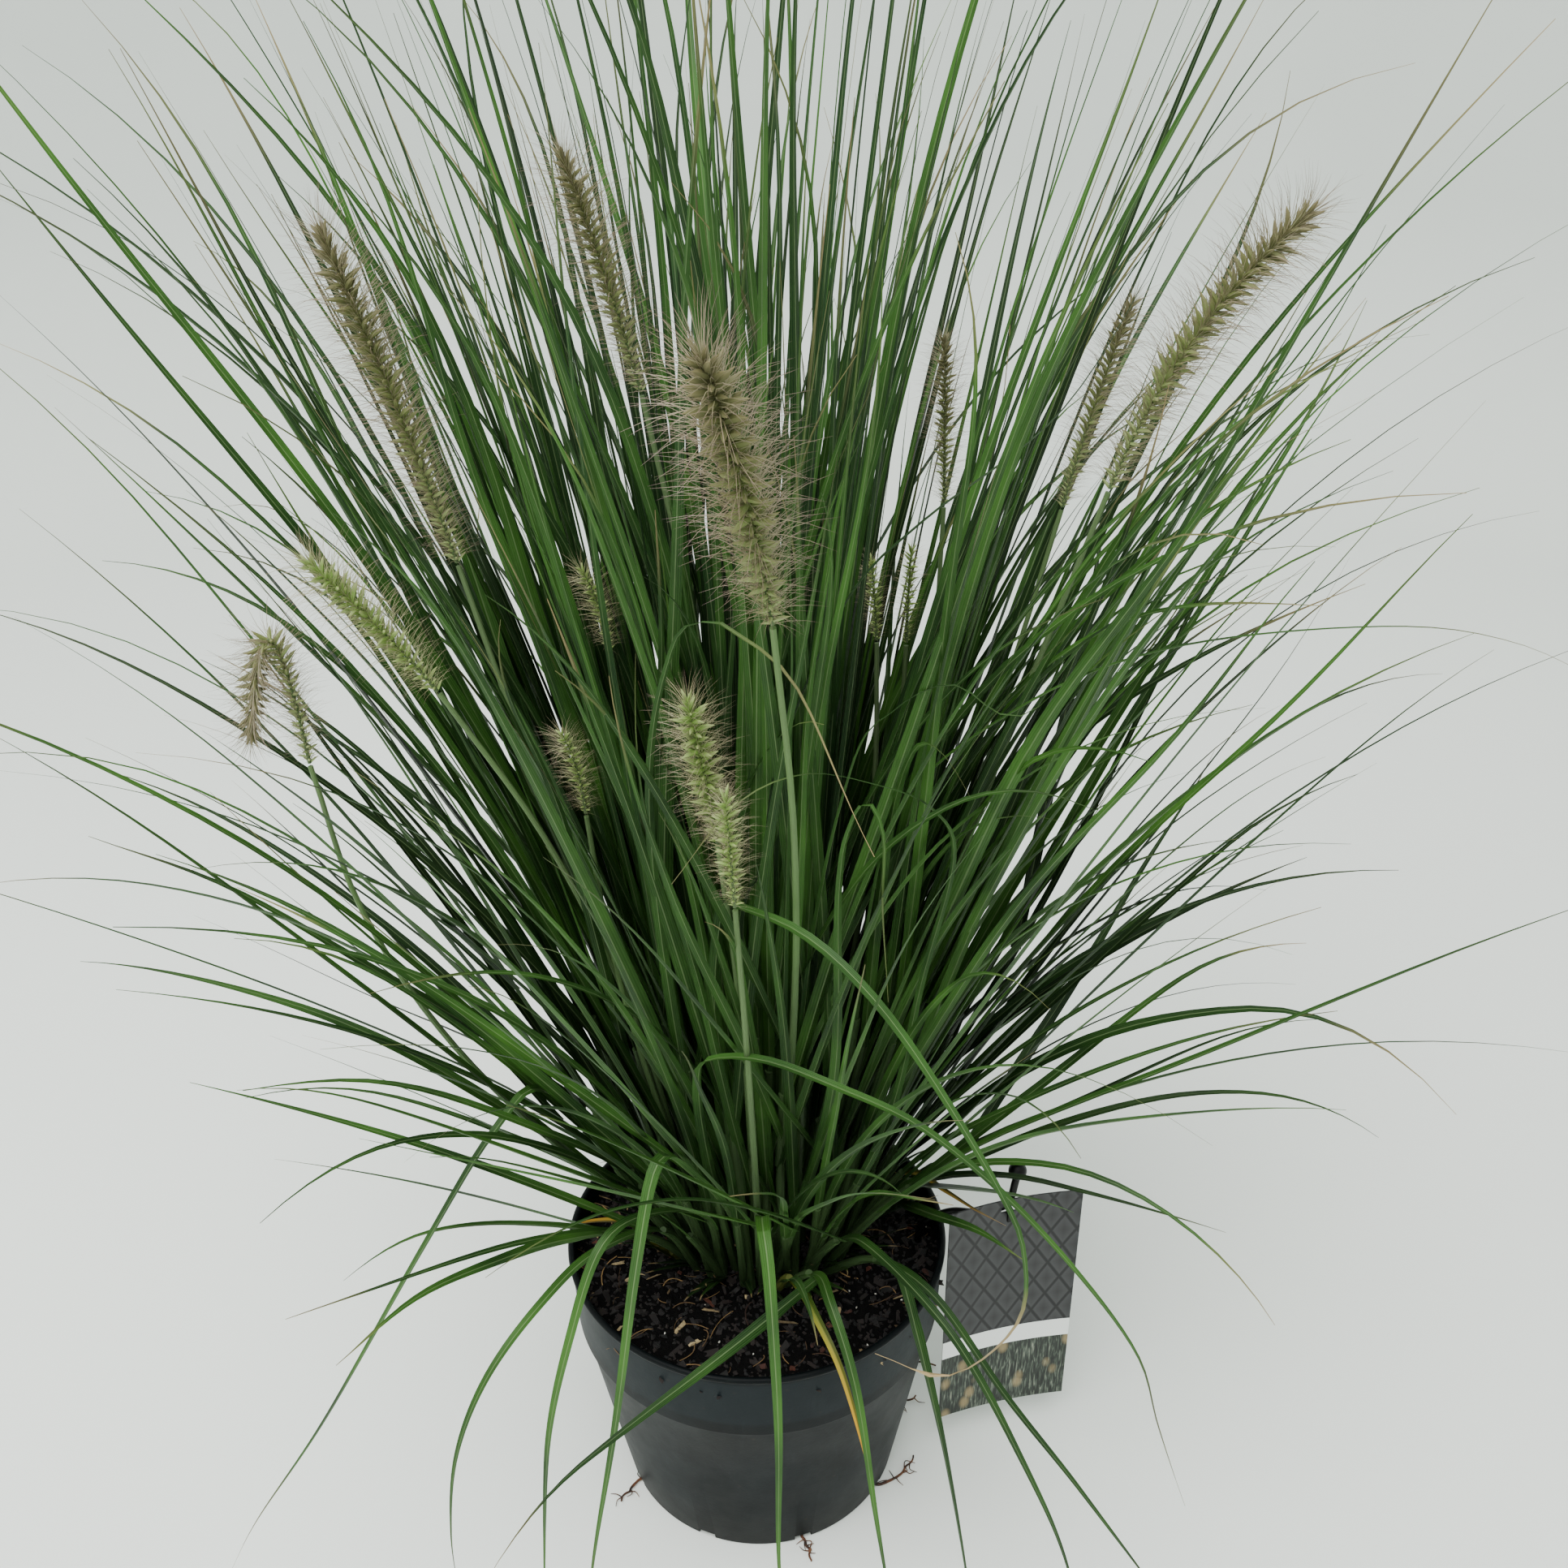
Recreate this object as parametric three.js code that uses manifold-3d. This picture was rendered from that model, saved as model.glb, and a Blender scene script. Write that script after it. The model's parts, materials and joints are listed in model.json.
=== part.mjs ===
// Potted fountain grass: a nursery pot of soil, one clump of arching grass in ten leaf bunches,
// fourteen bristly flower heads on their culms, and a hanging label on a push-in stake.
// Millimetres, +Z up. The origin is the middle of the pot's flat underside and -Y is the front.
import * as THREE from 'three';
import { mergeVertices } from 'three/addons/utils/BufferGeometryUtils.js';
import Module from 'manifold-3d';

const wasm = await Module();
wasm.setup();

// Driving dimensions
const POT_HEIGHT = 148;
const POT_RIM_R = 95;
const POT_BASE_R = 72;
const POT_WALL = 1.4;
const POT_FLOOR = 2;
const COLLAR_HEIGHT = 40;
const COLLAR_STEP = 1.6;
const POT_SIDES = 40;
const DRAIN_HOLES = 9;
const DRAIN_WIDTH = 9;
const DRAIN_HEIGHT = 4;
const DRAIN_TURN = 7.6;
const CLEAR = 0.3;

const SOIL_TOP = 135;
const SOIL_RELIEF = 2.4;
const CROWN = { x: 3, y: 22, r: 50, floor: 119, top: 138, rootZ: 131 };

const STEPS = 24;
const KEEL = 1.05;
const THINNEST = 0.65;
const SHEATH_WIDTH = 5.4;
const SHEATH_DEPTH = 4.2;
const CULM_WIDTH = 2.6;
const REACH = 345;
const FRONT_REACH = -225;
const TALLEST = 820;

const CARD = { width: 70, height: 145, thick: 0.8, x: 129, y: -8, top: 171, turn: 13.6, bow: 3 };
const SLOT = { u: -3, drop: 6, width: 8, height: 3.4 };
const STAKE = { x: 82, y: 3.6, foot: 100, r: 1.9, knob: 4.6, hole: 2.7 };

const COLOURS = {
  pot: 0x4a5457,
  soil: 0x1a120e,
  leaf: 0x3b6a33,
  head: 0xa39c72,
  youngHead: 0x98a868,
  stake: 0x101213,
  card: 0x4a4c4e,
  root: 0x5a3018,
};

const deg = (a) => (a * Math.PI) / 180;
const clamp = (v, lo, hi) => Math.min(hi, Math.max(lo, v));
const mix = (a, b, t) => a + (b - a) * t;

// A seeded stream of numbers from 0 to 1.
function draws(seed) {
  let state = (seed * 7919 + 104729) % 2147483647;
  return () => {
    state = (state * 16807) % 2147483647;
    return state / 2147483647;
  };
}

function solid(geometry) {
  const bare = geometry.index ? geometry : geometry.clone();
  bare.deleteAttribute('normal');
  bare.deleteAttribute('uv');
  const welded = mergeVertices(bare, 1e-3);
  return new wasm.Manifold(
    new wasm.Mesh({
      numProp: 3,
      vertProperties: new Float32Array(welded.attributes.position.array),
      triVerts: new Uint32Array(welded.index.array),
    }),
  );
}

// Joins neighbours in pairs, so that no single step works on more than it needs.
function joined(solids) {
  let list = solids;
  while (list.length > 1) {
    const next = [];
    for (let i = 0; i < list.length; i += 2) {
      next.push(i + 1 < list.length ? list[i].add(list[i + 1]) : list[i]);
    }
    list = next;
  }
  return list[0];
}

function geometryOf(body) {
  const mesh = body.getMesh();
  const geometry = new THREE.BufferGeometry();
  const count = mesh.vertProperties.length / mesh.numProp;
  const position = new Float32Array(count * 3);
  for (let i = 0; i < count; i++) {
    for (let k = 0; k < 3; k++) {
      position[3 * i + k] = mesh.vertProperties[i * mesh.numProp + k];
    }
  }
  geometry.setAttribute('position', new THREE.BufferAttribute(position, 3));
  geometry.setIndex(new THREE.BufferAttribute(new Uint32Array(mesh.triVerts), 1));
  return geometry;
}

// The largest body of a join: a hollow that the join has sealed is filled by leaving its skin out.
function whole(body) {
  const bodies = solid(geometryOf(body)).decompose();
  return bodies.reduce((a, b) => (b.volume() > a.volume() ? b : a));
}

const part = new THREE.Group();

function addPiece(name, body, colour, roughness = 0.7) {
  const material = new THREE.MeshStandardMaterial({ color: colour, roughness, metalness: 0 });
  const mesh = new THREE.Mesh(geometryOf(body), material);
  mesh.name = name;
  part.add(mesh);
}

// A closed body from rings of points: equal rings joined by quads, a cap or a point at each end.
function loft(rings, tip = null, foot = null) {
  const points = rings.flat();
  const sides = rings[0].length;
  const faces = [];
  for (let i = 0; i + 1 < rings.length; i++) {
    for (let k = 0; k < sides; k++) {
      const a = i * sides + k;
      const b = i * sides + ((k + 1) % sides);
      faces.push([a, b, b + sides], [a, b + sides, a + sides]);
    }
  }
  const last = (rings.length - 1) * sides;
  if (foot) points.push(foot);
  const footIndex = points.length - 1;
  for (let k = 0; k < sides; k++) {
    if (foot) faces.push([footIndex, (k + 1) % sides, k]);
    else if (k > 0 && k + 1 < sides) faces.push([0, k + 1, k]);
  }
  if (tip) points.push(tip);
  const tipIndex = points.length - 1;
  for (let k = 0; k < sides; k++) {
    if (tip) faces.push([tipIndex, last + k, last + ((k + 1) % sides)]);
    else if (k > 0 && k + 1 < sides) faces.push([last, last + k, last + k + 1]);
  }
  const geometry = new THREE.BufferGeometry();
  const array = new Float32Array(points.flatMap((p) => [p.x, p.y, p.z]));
  geometry.setAttribute('position', new THREE.BufferAttribute(array, 3));
  geometry.setIndex(faces.flat());
  return geometry;
}

// Pot: one moulded shell with a stepped collar, a rolled rim and slots round its bottom edge
const bodyR = (z) => mix(POT_BASE_R, POT_RIM_R - 4.2, z / (POT_HEIGHT - COLLAR_HEIGHT));
const collarZ = POT_HEIGHT - COLLAR_HEIGHT;
const potInnerR = (z) => (z < collarZ ? bodyR(z) : mix(bodyR(collarZ), POT_RIM_R - 0.6,
  (z - collarZ) / COLLAR_HEIGHT)) - POT_WALL;

function pot() {
  const outer = [
    [0, 0],
    [POT_BASE_R, 0],
    [bodyR(collarZ), collarZ],
    [bodyR(collarZ) + COLLAR_STEP, collarZ + 0.8],
    [POT_RIM_R - 0.9, POT_HEIGHT - 4],
    [POT_RIM_R, POT_HEIGHT - 3],
    [POT_RIM_R - 0.6, POT_HEIGHT],
  ];
  const inner = [
    [potInnerR(POT_HEIGHT), POT_HEIGHT],
    [potInnerR(collarZ), collarZ],
    [potInnerR(POT_FLOOR), POT_FLOOR],
    [0, POT_FLOOR],
  ];
  const profile = [...outer, ...inner].map(([r, z]) => new THREE.Vector2(r, z));
  const shell = new THREE.LatheGeometry(profile, POT_SIDES);
  shell.rotateX(Math.PI / 2);
  let body = solid(shell);
  for (let i = 0; i < DRAIN_HOLES; i++) {
    const slot = new THREE.BoxGeometry(16, DRAIN_WIDTH, DRAIN_HEIGHT * 2);
    slot.translate(POT_BASE_R - 4, 0, 0);
    slot.rotateZ(deg(DRAIN_TURN + (360 / DRAIN_HOLES) * i));
    body = body.subtract(solid(slot));
  }
  return body;
}

// Soil: the potting mix inside the pot, uneven on top, with a plain round hole for the crown
function soil() {
  const draw = draws(11);
  const pit = CROWN.r + 4;
  const bottom = POT_FLOOR + CLEAR;
  const sides = POT_SIDES;
  const rows = [0.12, 0.42, 0.74, 1];
  const ring = (r, z, cx = 0, cy = 0) => {
    const points = [];
    for (let k = 0; k < sides; k++) {
      const a = (2 * Math.PI * k) / sides;
      points.push(new THREE.Vector3(cx + r * Math.cos(a), cy + r * Math.sin(a), z));
    }
    return points;
  };
  const wallR = potInnerR(SOIL_TOP) - CLEAR;
  const rings = [
    ring(potInnerR(bottom) - CLEAR - 0.5, bottom),
    ring(potInnerR(collarZ) - CLEAR - 0.6, collarZ),
    ring(wallR, SOIL_TOP - 1),
  ];
  for (const row of rows.slice(0, 3).reverse()) {
    const points = ring(1, 0);
    for (let k = 0; k < sides; k++) {
      const a = (2 * Math.PI * k) / sides;
      const inner = new THREE.Vector3(CROWN.x + pit * Math.cos(a), CROWN.y + pit * Math.sin(a), 0);
      const outer = new THREE.Vector3(wallR * Math.cos(a), wallR * Math.sin(a), 0);
      points[k] = inner.lerp(outer, row);
      points[k].z = SOIL_TOP + SOIL_RELIEF * (draw() - 0.6);
    }
    rings.push(points);
  }
  rings.push(ring(pit, SOIL_TOP - 1, CROWN.x, CROWN.y));
  rings.push(ring(pit, CROWN.floor - CLEAR, CROWN.x, CROWN.y));
  const foot = new THREE.Vector3(0, 0, bottom);
  const tip = new THREE.Vector3(CROWN.x, CROWN.y, CROWN.floor - CLEAR);
  const depth = SOIL_TOP - STAKE.foot + 10;
  const hole = new THREE.CylinderGeometry(STAKE.hole, STAKE.hole, depth, 12);
  hole.rotateX(Math.PI / 2);
  hole.translate(STAKE.x, STAKE.y, STAKE.foot - CLEAR + depth / 2);
  return solid(loft(rings, tip, foot)).subtract(solid(hole));
}

// Grass rule. A blade is a line of STEPS + 1 points with the direction across it at each point.
function leanLine(root, azimuths, leans, length, twist = 0) {
  const points = [root.clone()];
  const across = [];
  const at = (list, t) => {
    const u = t * (list.length - 1);
    const i = Math.min(Math.floor(u), list.length - 2);
    return mix(list[i], list[i + 1], u - i);
  };
  for (let i = 0; i <= STEPS; i++) {
    const turn = deg(at(azimuths, i / STEPS));
    const tilt = deg(at(leans, i / STEPS));
    const roll = deg(twist) * Math.sqrt(i / STEPS);
    const face = new THREE.Vector3(
      -Math.cos(tilt) * Math.cos(turn),
      -Math.cos(tilt) * Math.sin(turn),
      Math.sin(tilt),
    ).multiplyScalar(Math.sin(roll));
    across.push(face.addScaledVector(
      new THREE.Vector3(-Math.sin(turn), Math.cos(turn), 0),
      Math.cos(roll),
    ));
    if (i === STEPS) break;
    const t = (i + 0.5) / STEPS;
    const a = deg(at(azimuths, t));
    const lean = deg(at(leans, t));
    const step = new THREE.Vector3(
      Math.sin(lean) * Math.cos(a),
      Math.sin(lean) * Math.sin(a),
      Math.cos(lean),
    );
    points.push(points[i].clone().addScaledVector(step, length / STEPS));
  }
  return { points, across };
}

// A smooth line through a few chosen points, cut into STEPS equal lengths.
function routeLine(route) {
  const p = route.map((q) => new THREE.Vector3(...q));
  const knots = [p[0].clone().multiplyScalar(2).sub(p[1]), ...p];
  const end = p.length - 1;
  knots.push(p[end].clone().multiplyScalar(2).sub(p[end - 1]));
  const dense = [];
  for (let i = 1; i + 2 < knots.length; i++) {
    for (let k = 0; k < 12; k++) {
      const t = k / 12;
      const point = new THREE.Vector3();
      point.addScaledVector(knots[i - 1], -0.5 * t + t * t - 0.5 * t * t * t);
      point.addScaledVector(knots[i], 1 - 2.5 * t * t + 1.5 * t * t * t);
      point.addScaledVector(knots[i + 1], 0.5 * t + 2 * t * t - 1.5 * t * t * t);
      point.addScaledVector(knots[i + 2], -0.5 * t * t + 0.5 * t * t * t);
      dense.push(point);
    }
  }
  dense.push(p[end].clone());
  const run = [0];
  for (let i = 1; i < dense.length; i++) {
    run.push(run[i - 1] + dense[i].distanceTo(dense[i - 1]));
  }
  const length = run[run.length - 1];
  const points = [];
  let k = 0;
  for (let i = 0; i <= STEPS; i++) {
    const s = (length * i) / STEPS;
    while (k + 2 < run.length && run[k + 1] < s) k += 1;
    const share = clamp((s - run[k]) / (run[k + 1] - run[k]), 0, 1);
    points.push(dense[k].clone().lerp(dense[k + 1], share));
  }
  const side = new THREE.Vector3(p[0].y - p[end].y, p[end].x - p[0].x, 0).normalize();
  const across = points.map((q, i) => {
    const along = points[Math.min(i + 1, STEPS)].clone().sub(points[Math.max(i - 1, 0)]).normalize();
    return side.clone().addScaledVector(along, -side.dot(along)).normalize();
  });
  return { points, across, length };
}

const bladeWidth = (t) => Math.min(1, 0.3 + 4 * t) * (1 - t ** 1.9);

// The blade's solid: three-sided sections at every stride-th point, run out to a sharp tip.
function bladeSolid(blade) {
  const { points, across, stride, width, sheath } = blade;
  const rings = [];
  for (let i = 0; i < STEPS; i += stride) {
    const t = i / STEPS;
    const next = points[Math.min(i + stride, STEPS)];
    const before = points[Math.max(i - stride, 0)];
    const along = next.clone().sub(before).normalize();
    const side = across[i].clone().addScaledVector(along, -across[i].dot(along)).normalize();
    const up = side.clone().cross(along);
    const inSheath = t < sheath;
    const free = Math.max(THINNEST, width * bladeWidth(t));
    const w = inSheath ? mix(blade.footWidth, SHEATH_WIDTH * 0.8, t / sheath) : free;
    const d = inSheath ? mix(SHEATH_DEPTH, 3, t / sheath) : Math.max(THINNEST, KEEL * (1 - 0.5 * t));
    rings.push([
      points[i].clone().addScaledVector(side, w / 2).addScaledVector(up, d / 3),
      points[i].clone().addScaledVector(up, (-2 * d) / 3),
      points[i].clone().addScaledVector(side, -w / 2).addScaledVector(up, d / 3),
    ]);
  }
  return solid(loft(rings, points[STEPS].clone()));
}

// A round stem or root drawn as a four-sided rod that thins towards its far end.
function rodSolid(line, footWidth, topWidth) {
  const rings = [];
  const stride = 4;
  for (let i = 0; i <= STEPS; i += stride) {
    const along = line.points[Math.min(i + stride, STEPS)].clone()
      .sub(line.points[Math.max(i - stride, 0)])
      .normalize();
    const side = new THREE.Vector3(0, 1, 0).cross(along).normalize();
    const up = along.clone().cross(side);
    const r = mix(footWidth, topWidth, i / STEPS) / 2;
    rings.push([side, up, side.clone().negate(), up.clone().negate()].map(
      (v) => line.points[i].clone().addScaledVector(v, r),
    ));
  }
  return solid(loft(rings));
}

// A flower head: a slim core whose whole surface is drawn out into rows of pointed spikelets,
// staggered from row to row and leaning towards the tip.
const HEAD_SIDES = 6;
const HEAD_ROW = 9.5;

function headLine(foot, bend, tip, t) {
  const point = new THREE.Vector3();
  point.addScaledVector(foot, (1 - t) * (1 - t));
  point.addScaledVector(bend, 2 * t * (1 - t));
  point.addScaledVector(tip, t * t);
  return point;
}

function curveLength(foot, bend, tip) {
  const steps = 12;
  let length = 0;
  for (let i = 0; i < steps; i++) {
    const from = headLine(foot, bend, tip, i / steps);
    length += from.distanceTo(headLine(foot, bend, tip, (i + 1) / steps));
  }
  return length;
}

const headBulge = (t) => Math.min(1, 0.3 + 3.2 * t) * (1 - 0.75 * t ** 4);

function headSolid(head) {
  const [foot, bend, tip] = [head.foot, head.bend, head.tip];
  const rows = Math.max(4, Math.round(curveLength(foot, bend, tip) / HEAD_ROW));
  const points = [];
  const faces = [];
  const frameAt = (t) => {
    const lo = headLine(foot, bend, tip, Math.max(0, t - 0.05));
    const along = headLine(foot, bend, tip, Math.min(1, t + 0.05)).sub(lo).normalize();
    const side = new THREE.Vector3(0, 1, 0).cross(along).normalize();
    return { centre: headLine(foot, bend, tip, t), along, side, up: along.clone().cross(side) };
  };
  const onSurface = (frame, turn, r, lift) => frame.centre.clone()
    .addScaledVector(frame.side, r * Math.cos(turn))
    .addScaledVector(frame.up, r * Math.sin(turn))
    .addScaledVector(frame.along, lift);
  const turnOf = (row, k) => (2 * Math.PI * (k + row / 2)) / HEAD_SIDES;
  for (let i = 0; i <= rows; i++) {
    const frame = frameAt(i / rows);
    for (let k = 0; k < HEAD_SIDES; k++) {
      points.push(onSurface(frame, turnOf(i, k), head.core * headBulge(i / rows), 0));
    }
  }
  const corner = (i, k) => i * HEAD_SIDES + (k % HEAD_SIDES);
  for (let i = 0; i < rows; i++) {
    const t = (i + 0.5) / rows;
    const frame = frameAt(t);
    for (let k = 0; k < HEAD_SIDES; k++) {
      const reach = (head.spread * 0.72 - head.core) * (0.55 + 0.45 * headBulge(t));
      const r = head.core * headBulge(t) + reach;
      points.push(onSurface(frame, turnOf(i + 0.5, k + 0.5), r, reach * 0.9));
      const apex = points.length - 1;
      const loop = [corner(i, k), corner(i, k + 1), corner(i + 1, k + 1), corner(i + 1, k)];
      loop.forEach((v, j) => faces.push([v, loop[(j + 1) % 4], apex]));
    }
  }
  const foreFrame = frameAt(0);
  const tipFrame = frameAt(1);
  points.push(onSurface(foreFrame, 0, 0, -1.2), onSurface(tipFrame, 0, 0, head.spread * 0.55));
  const [footPole, tipPole] = [points.length - 2, points.length - 1];
  for (let k = 0; k < HEAD_SIDES; k++) {
    faces.push([footPole, corner(0, k + 1), corner(0, k)]);
    faces.push([tipPole, corner(rows, k), corner(rows, k + 1)]);
  }
  const geometry = new THREE.BufferGeometry();
  const array = new Float32Array(points.flatMap((p) => [p.x, p.y, p.z]));
  geometry.setAttribute('position', new THREE.BufferAttribute(array, 3));
  geometry.setIndex(faces.flat());
  return solid(geometry);
}

// The clump stands in ten bunches, each a sector of the crown from one angle to the next.
const BUNCHES = [
  ['leaf_bunch_front', 234, 306],
  ['leaf_bunch_front_right', 306, 338],
  ['leaf_bunch_right', 338, 370],
  ['leaf_bunch_right_back', 370, 402],
  ['leaf_bunch_back_right', 402, 434],
  ['leaf_bunch_back', 434, 466],
  ['leaf_bunch_back_left', 466, 498],
  ['leaf_bunch_left_back', 498, 530],
  ['leaf_bunch_left', 530, 562],
  ['leaf_bunch_front_left', 562, 594],
];
const ROOT_MARGIN = 3.3;

// The root of a shoot at a distance and angle from the middle of the crown, kept inside a bunch.
function seat(distance, angle) {
  const turn = ((((angle - 234) % 360) + 360) % 360) + 234;
  const bunch = BUNCHES.findIndex(([, from, to]) => turn >= from && turn < to);
  const inset = (Math.asin(ROOT_MARGIN / distance) * 180) / Math.PI;
  const a = deg(clamp(turn, BUNCHES[bunch][1] + inset, BUNCHES[bunch][2] - inset));
  const root = new THREE.Vector3(
    CROWN.x + distance * Math.cos(a),
    CROWN.y + distance * Math.sin(a),
    CROWN.rootZ,
  );
  return { root, bunch };
}

// Label: a card hung by its slot on the lug of a stake that leans out over the pot's rim.
// A place on the card is u along its width, n out of its printed face and z above the ground.
function cardSpot(u, n, z) {
  const turn = deg(CARD.turn);
  return new THREE.Vector3(
    CARD.x + u * Math.cos(turn) + n * Math.sin(turn),
    CARD.y + u * Math.sin(turn) - n * Math.cos(turn),
    z,
  );
}

function cardPlace(point) {
  const turn = deg(CARD.turn);
  const dx = point.x - CARD.x;
  const dy = point.y - CARD.y;
  return {
    u: dx * Math.cos(turn) + dy * Math.sin(turn),
    n: dx * Math.sin(turn) - dy * Math.cos(turn),
  };
}

const slotZ = CARD.top - SLOT.drop;

function onCard(geometry, u, n, z) {
  geometry.rotateZ(deg(CARD.turn));
  geometry.translate(...cardSpot(u, n, z).toArray());
  return solid(geometry);
}

function labelCard() {
  const columns = 8;
  const front = [];
  const back = [];
  for (let i = 0; i <= columns; i++) {
    const u = (i / columns - 0.5) * CARD.width;
    const bow = CARD.bow * (1 - ((2 * u) / CARD.width) ** 2);
    front.push(new THREE.Vector2(u, bow - CARD.thick / 2));
    back.unshift(new THREE.Vector2(u, bow + CARD.thick / 2));
  }
  const strip = new THREE.Shape([...front, ...back]);
  const sheet = new THREE.ExtrudeGeometry(strip, { depth: CARD.height, bevelEnabled: false });
  const slot = new THREE.BoxGeometry(SLOT.width, 4 * CARD.bow, SLOT.height);
  return onCard(sheet, 0, 0, CARD.top - CARD.height)
    .subtract(onCard(slot, SLOT.u, -CARD.bow, slotZ));
}

// The stake's middle line: up out of the soil, over the rim, then up behind the card.
const behind = CARD.bow + CARD.thick / 2 + STAKE.r + 0.8;
const STAKE_ROUTE = [
  new THREE.Vector3(STAKE.x, STAKE.y, STAKE.foot),
  new THREE.Vector3(STAKE.x, STAKE.y, SOIL_TOP + 2),
  new THREE.Vector3(86, 3, 149),
  new THREE.Vector3(98, 2, 156),
  cardSpot(-16, -behind - 4, 159),
  cardSpot(SLOT.u, -behind, slotZ),
  cardSpot(1, -behind - 0.5, CARD.top + 7),
  cardSpot(2, -behind - 1, CARD.top + 14),
];

function labelStake() {
  const section = new THREE.Shape();
  section.absarc(0, 0, STAKE.r, 0, 2 * Math.PI);
  const rod = new THREE.ExtrudeGeometry(section, {
    curveSegments: 3,
    steps: 13,
    bevelEnabled: false,
    extrudePath: new THREE.CatmullRomCurve3(STAKE_ROUTE, false, 'centripetal'),
  });
  const knob = new THREE.SphereGeometry(STAKE.knob, 8, 6);
  const top = STAKE_ROUTE[STAKE_ROUTE.length - 1];
  knob.translate(top.x, top.y, top.z);
  const face = CARD.thick / 2 - CARD.bow;
  const lugTop = slotZ + SLOT.height / 2 - CLEAR;
  const through = new THREE.BoxGeometry(3.2, face + 3.2 + behind, 2.2);
  const down = new THREE.BoxGeometry(3.2, 2, 7.5);
  return joined([
    solid(rod),
    solid(knob),
    onCard(through, SLOT.u, (face + 3.2 - behind) / 2, lugTop - 1.1),
    onCard(down, SLOT.u, face + 2.2, lugTop - 3.75),
  ]);
}

// What stands in the way so far, as straight chords with a half width each.
const FIXED = -2;
const chords = [];
const shoots = [];

for (let i = 0; i + 1 < STAKE_ROUTE.length; i++) {
  const half = i + 2 < STAKE_ROUTE.length ? STAKE.r + 1 : STAKE.knob + 1;
  chords.push({ p: STAKE_ROUTE[i], q: STAKE_ROUTE[i + 1], half, bunch: -1, owner: FIXED });
}

function halfWidth(blade, i) {
  if (blade.round) return mix(blade.footWidth, blade.width, i / STEPS) / 2;
  const t = i / STEPS;
  return t < blade.sheath ? SHEATH_WIDTH / 2 : (blade.width * bladeWidth(t)) / 2;
}

function chordsOf(blade) {
  const list = [];
  for (let i = 0; i < STEPS; i += blade.stride) {
    const p = blade.points[i];
    const q = blade.points[i + blade.stride];
    const half = Math.max(halfWidth(blade, i), halfWidth(blade, i + blade.stride));
    list.push({ p, q, half, bunch: blade.bunch, owner: blade.id });
  }
  return list;
}

// The least distance between two straight chords.
function chordGap(a, b) {
  const d1 = a.q.clone().sub(a.p);
  const d2 = b.q.clone().sub(b.p);
  const r = a.p.clone().sub(b.p);
  const aa = d1.dot(d1);
  const ee = d2.dot(d2);
  const f = d2.dot(r);
  const c = d1.dot(r);
  const bb = d1.dot(d2);
  const denominator = aa * ee - bb * bb;
  let s = denominator > 1e-6 ? clamp((bb * f - c * ee) / denominator, 0, 1) : 0;
  let t = (bb * s + f) / ee;
  if (t < 0) {
    t = 0;
    s = clamp(-c / aa, 0, 1);
  } else if (t > 1) {
    t = 1;
    s = clamp((bb - c) / aa, 0, 1);
  }
  return a.p.clone().addScaledVector(d1, s).distanceTo(b.p.clone().addScaledVector(d2, t));
}

// True where no point of a blade enters the pot, the soil, the card or the ground.
function hasRoom(list) {
  for (const [index, { p, q }] of list.entries()) {
    for (let k = 0; k <= 4; k++) {
      const s = p.clone().lerp(q, k / 4);
      const r = Math.hypot(s.x, s.y);
      const fromCrown = Math.hypot(s.x - CROWN.x, s.y - CROWN.y);
      if (s.z < 6 || r > REACH || s.y < FRONT_REACH || s.z > TALLEST) return false;
      if (s.z < POT_HEIGHT + 3 && r > 84 && r < POT_RIM_R + 4) return false;
      if (s.z < SOIL_TOP + 4 && r <= 84 && fromCrown > CROWN.r - 1 && index > 0) return false;
      const { u, n } = cardPlace(s);
      const atCard = Math.abs(u) < CARD.width / 2 + 4 && n > -CARD.bow - 5 && n < 5;
      if (atCard && s.z > CARD.top - CARD.height - 4 && s.z < CARD.top + 4) return false;
    }
  }
  return true;
}

// True where a blade that starts in the crown comes out of it inside its own bunch's sector.
function risesInside({ p, q }, bunch) {
  if (p.z > CROWN.top) return true;
  const exit = p.clone().lerp(q, clamp((CROWN.top + 1 - p.z) / (q.z - p.z), 0, 1));
  const x = exit.x - CROWN.x;
  const y = exit.y - CROWN.y;
  const [from, to] = [deg(BUNCHES[bunch][1]), deg(BUNCHES[bunch][2])];
  const fromFirst = y * Math.cos(from) - x * Math.sin(from);
  const fromSecond = x * Math.sin(to) - y * Math.cos(to);
  return Math.min(fromFirst, fromSecond) > ROOT_MARGIN - 0.4;
}

// True where a blade would cross its own bunch or come too near to anything else.
function meets(list, bunch, parent) {
  for (const [index, a] of list.entries()) {
    for (const b of chords) {
      if (index === 0 && b.owner === parent) continue;
      const reach = a.half + b.half + CLEAR;
      const far = reach + (a.p.distanceTo(a.q) + b.p.distanceTo(b.q)) / 2;
      const mx = a.p.x + a.q.x - b.p.x - b.q.x;
      const my = a.p.y + a.q.y - b.p.y - b.q.y;
      const mz = a.p.z + a.q.z - b.p.z - b.q.z;
      if (mx * mx + my * my + mz * mz > 4 * far * far) continue;
      if (chordGap(a, b) < (b.bunch === bunch ? reach / 2 : reach)) return true;
    }
  }
  return false;
}

// Tries a blade in each way that attempt offers, and plants the first that stands clear.
function plant(tries, attempt) {
  for (let k = 0; k < tries; k++) {
    const blade = attempt(k);
    blade.id = shoots.length;
    const list = chordsOf(blade);
    if (!hasRoom(list) || !risesInside(list[0], blade.bunch)) continue;
    if (meets(list, blade.bunch, blade.parent)) continue;
    chords.push(...list);
    shoots.push(blade);
    return;
  }
}

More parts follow.
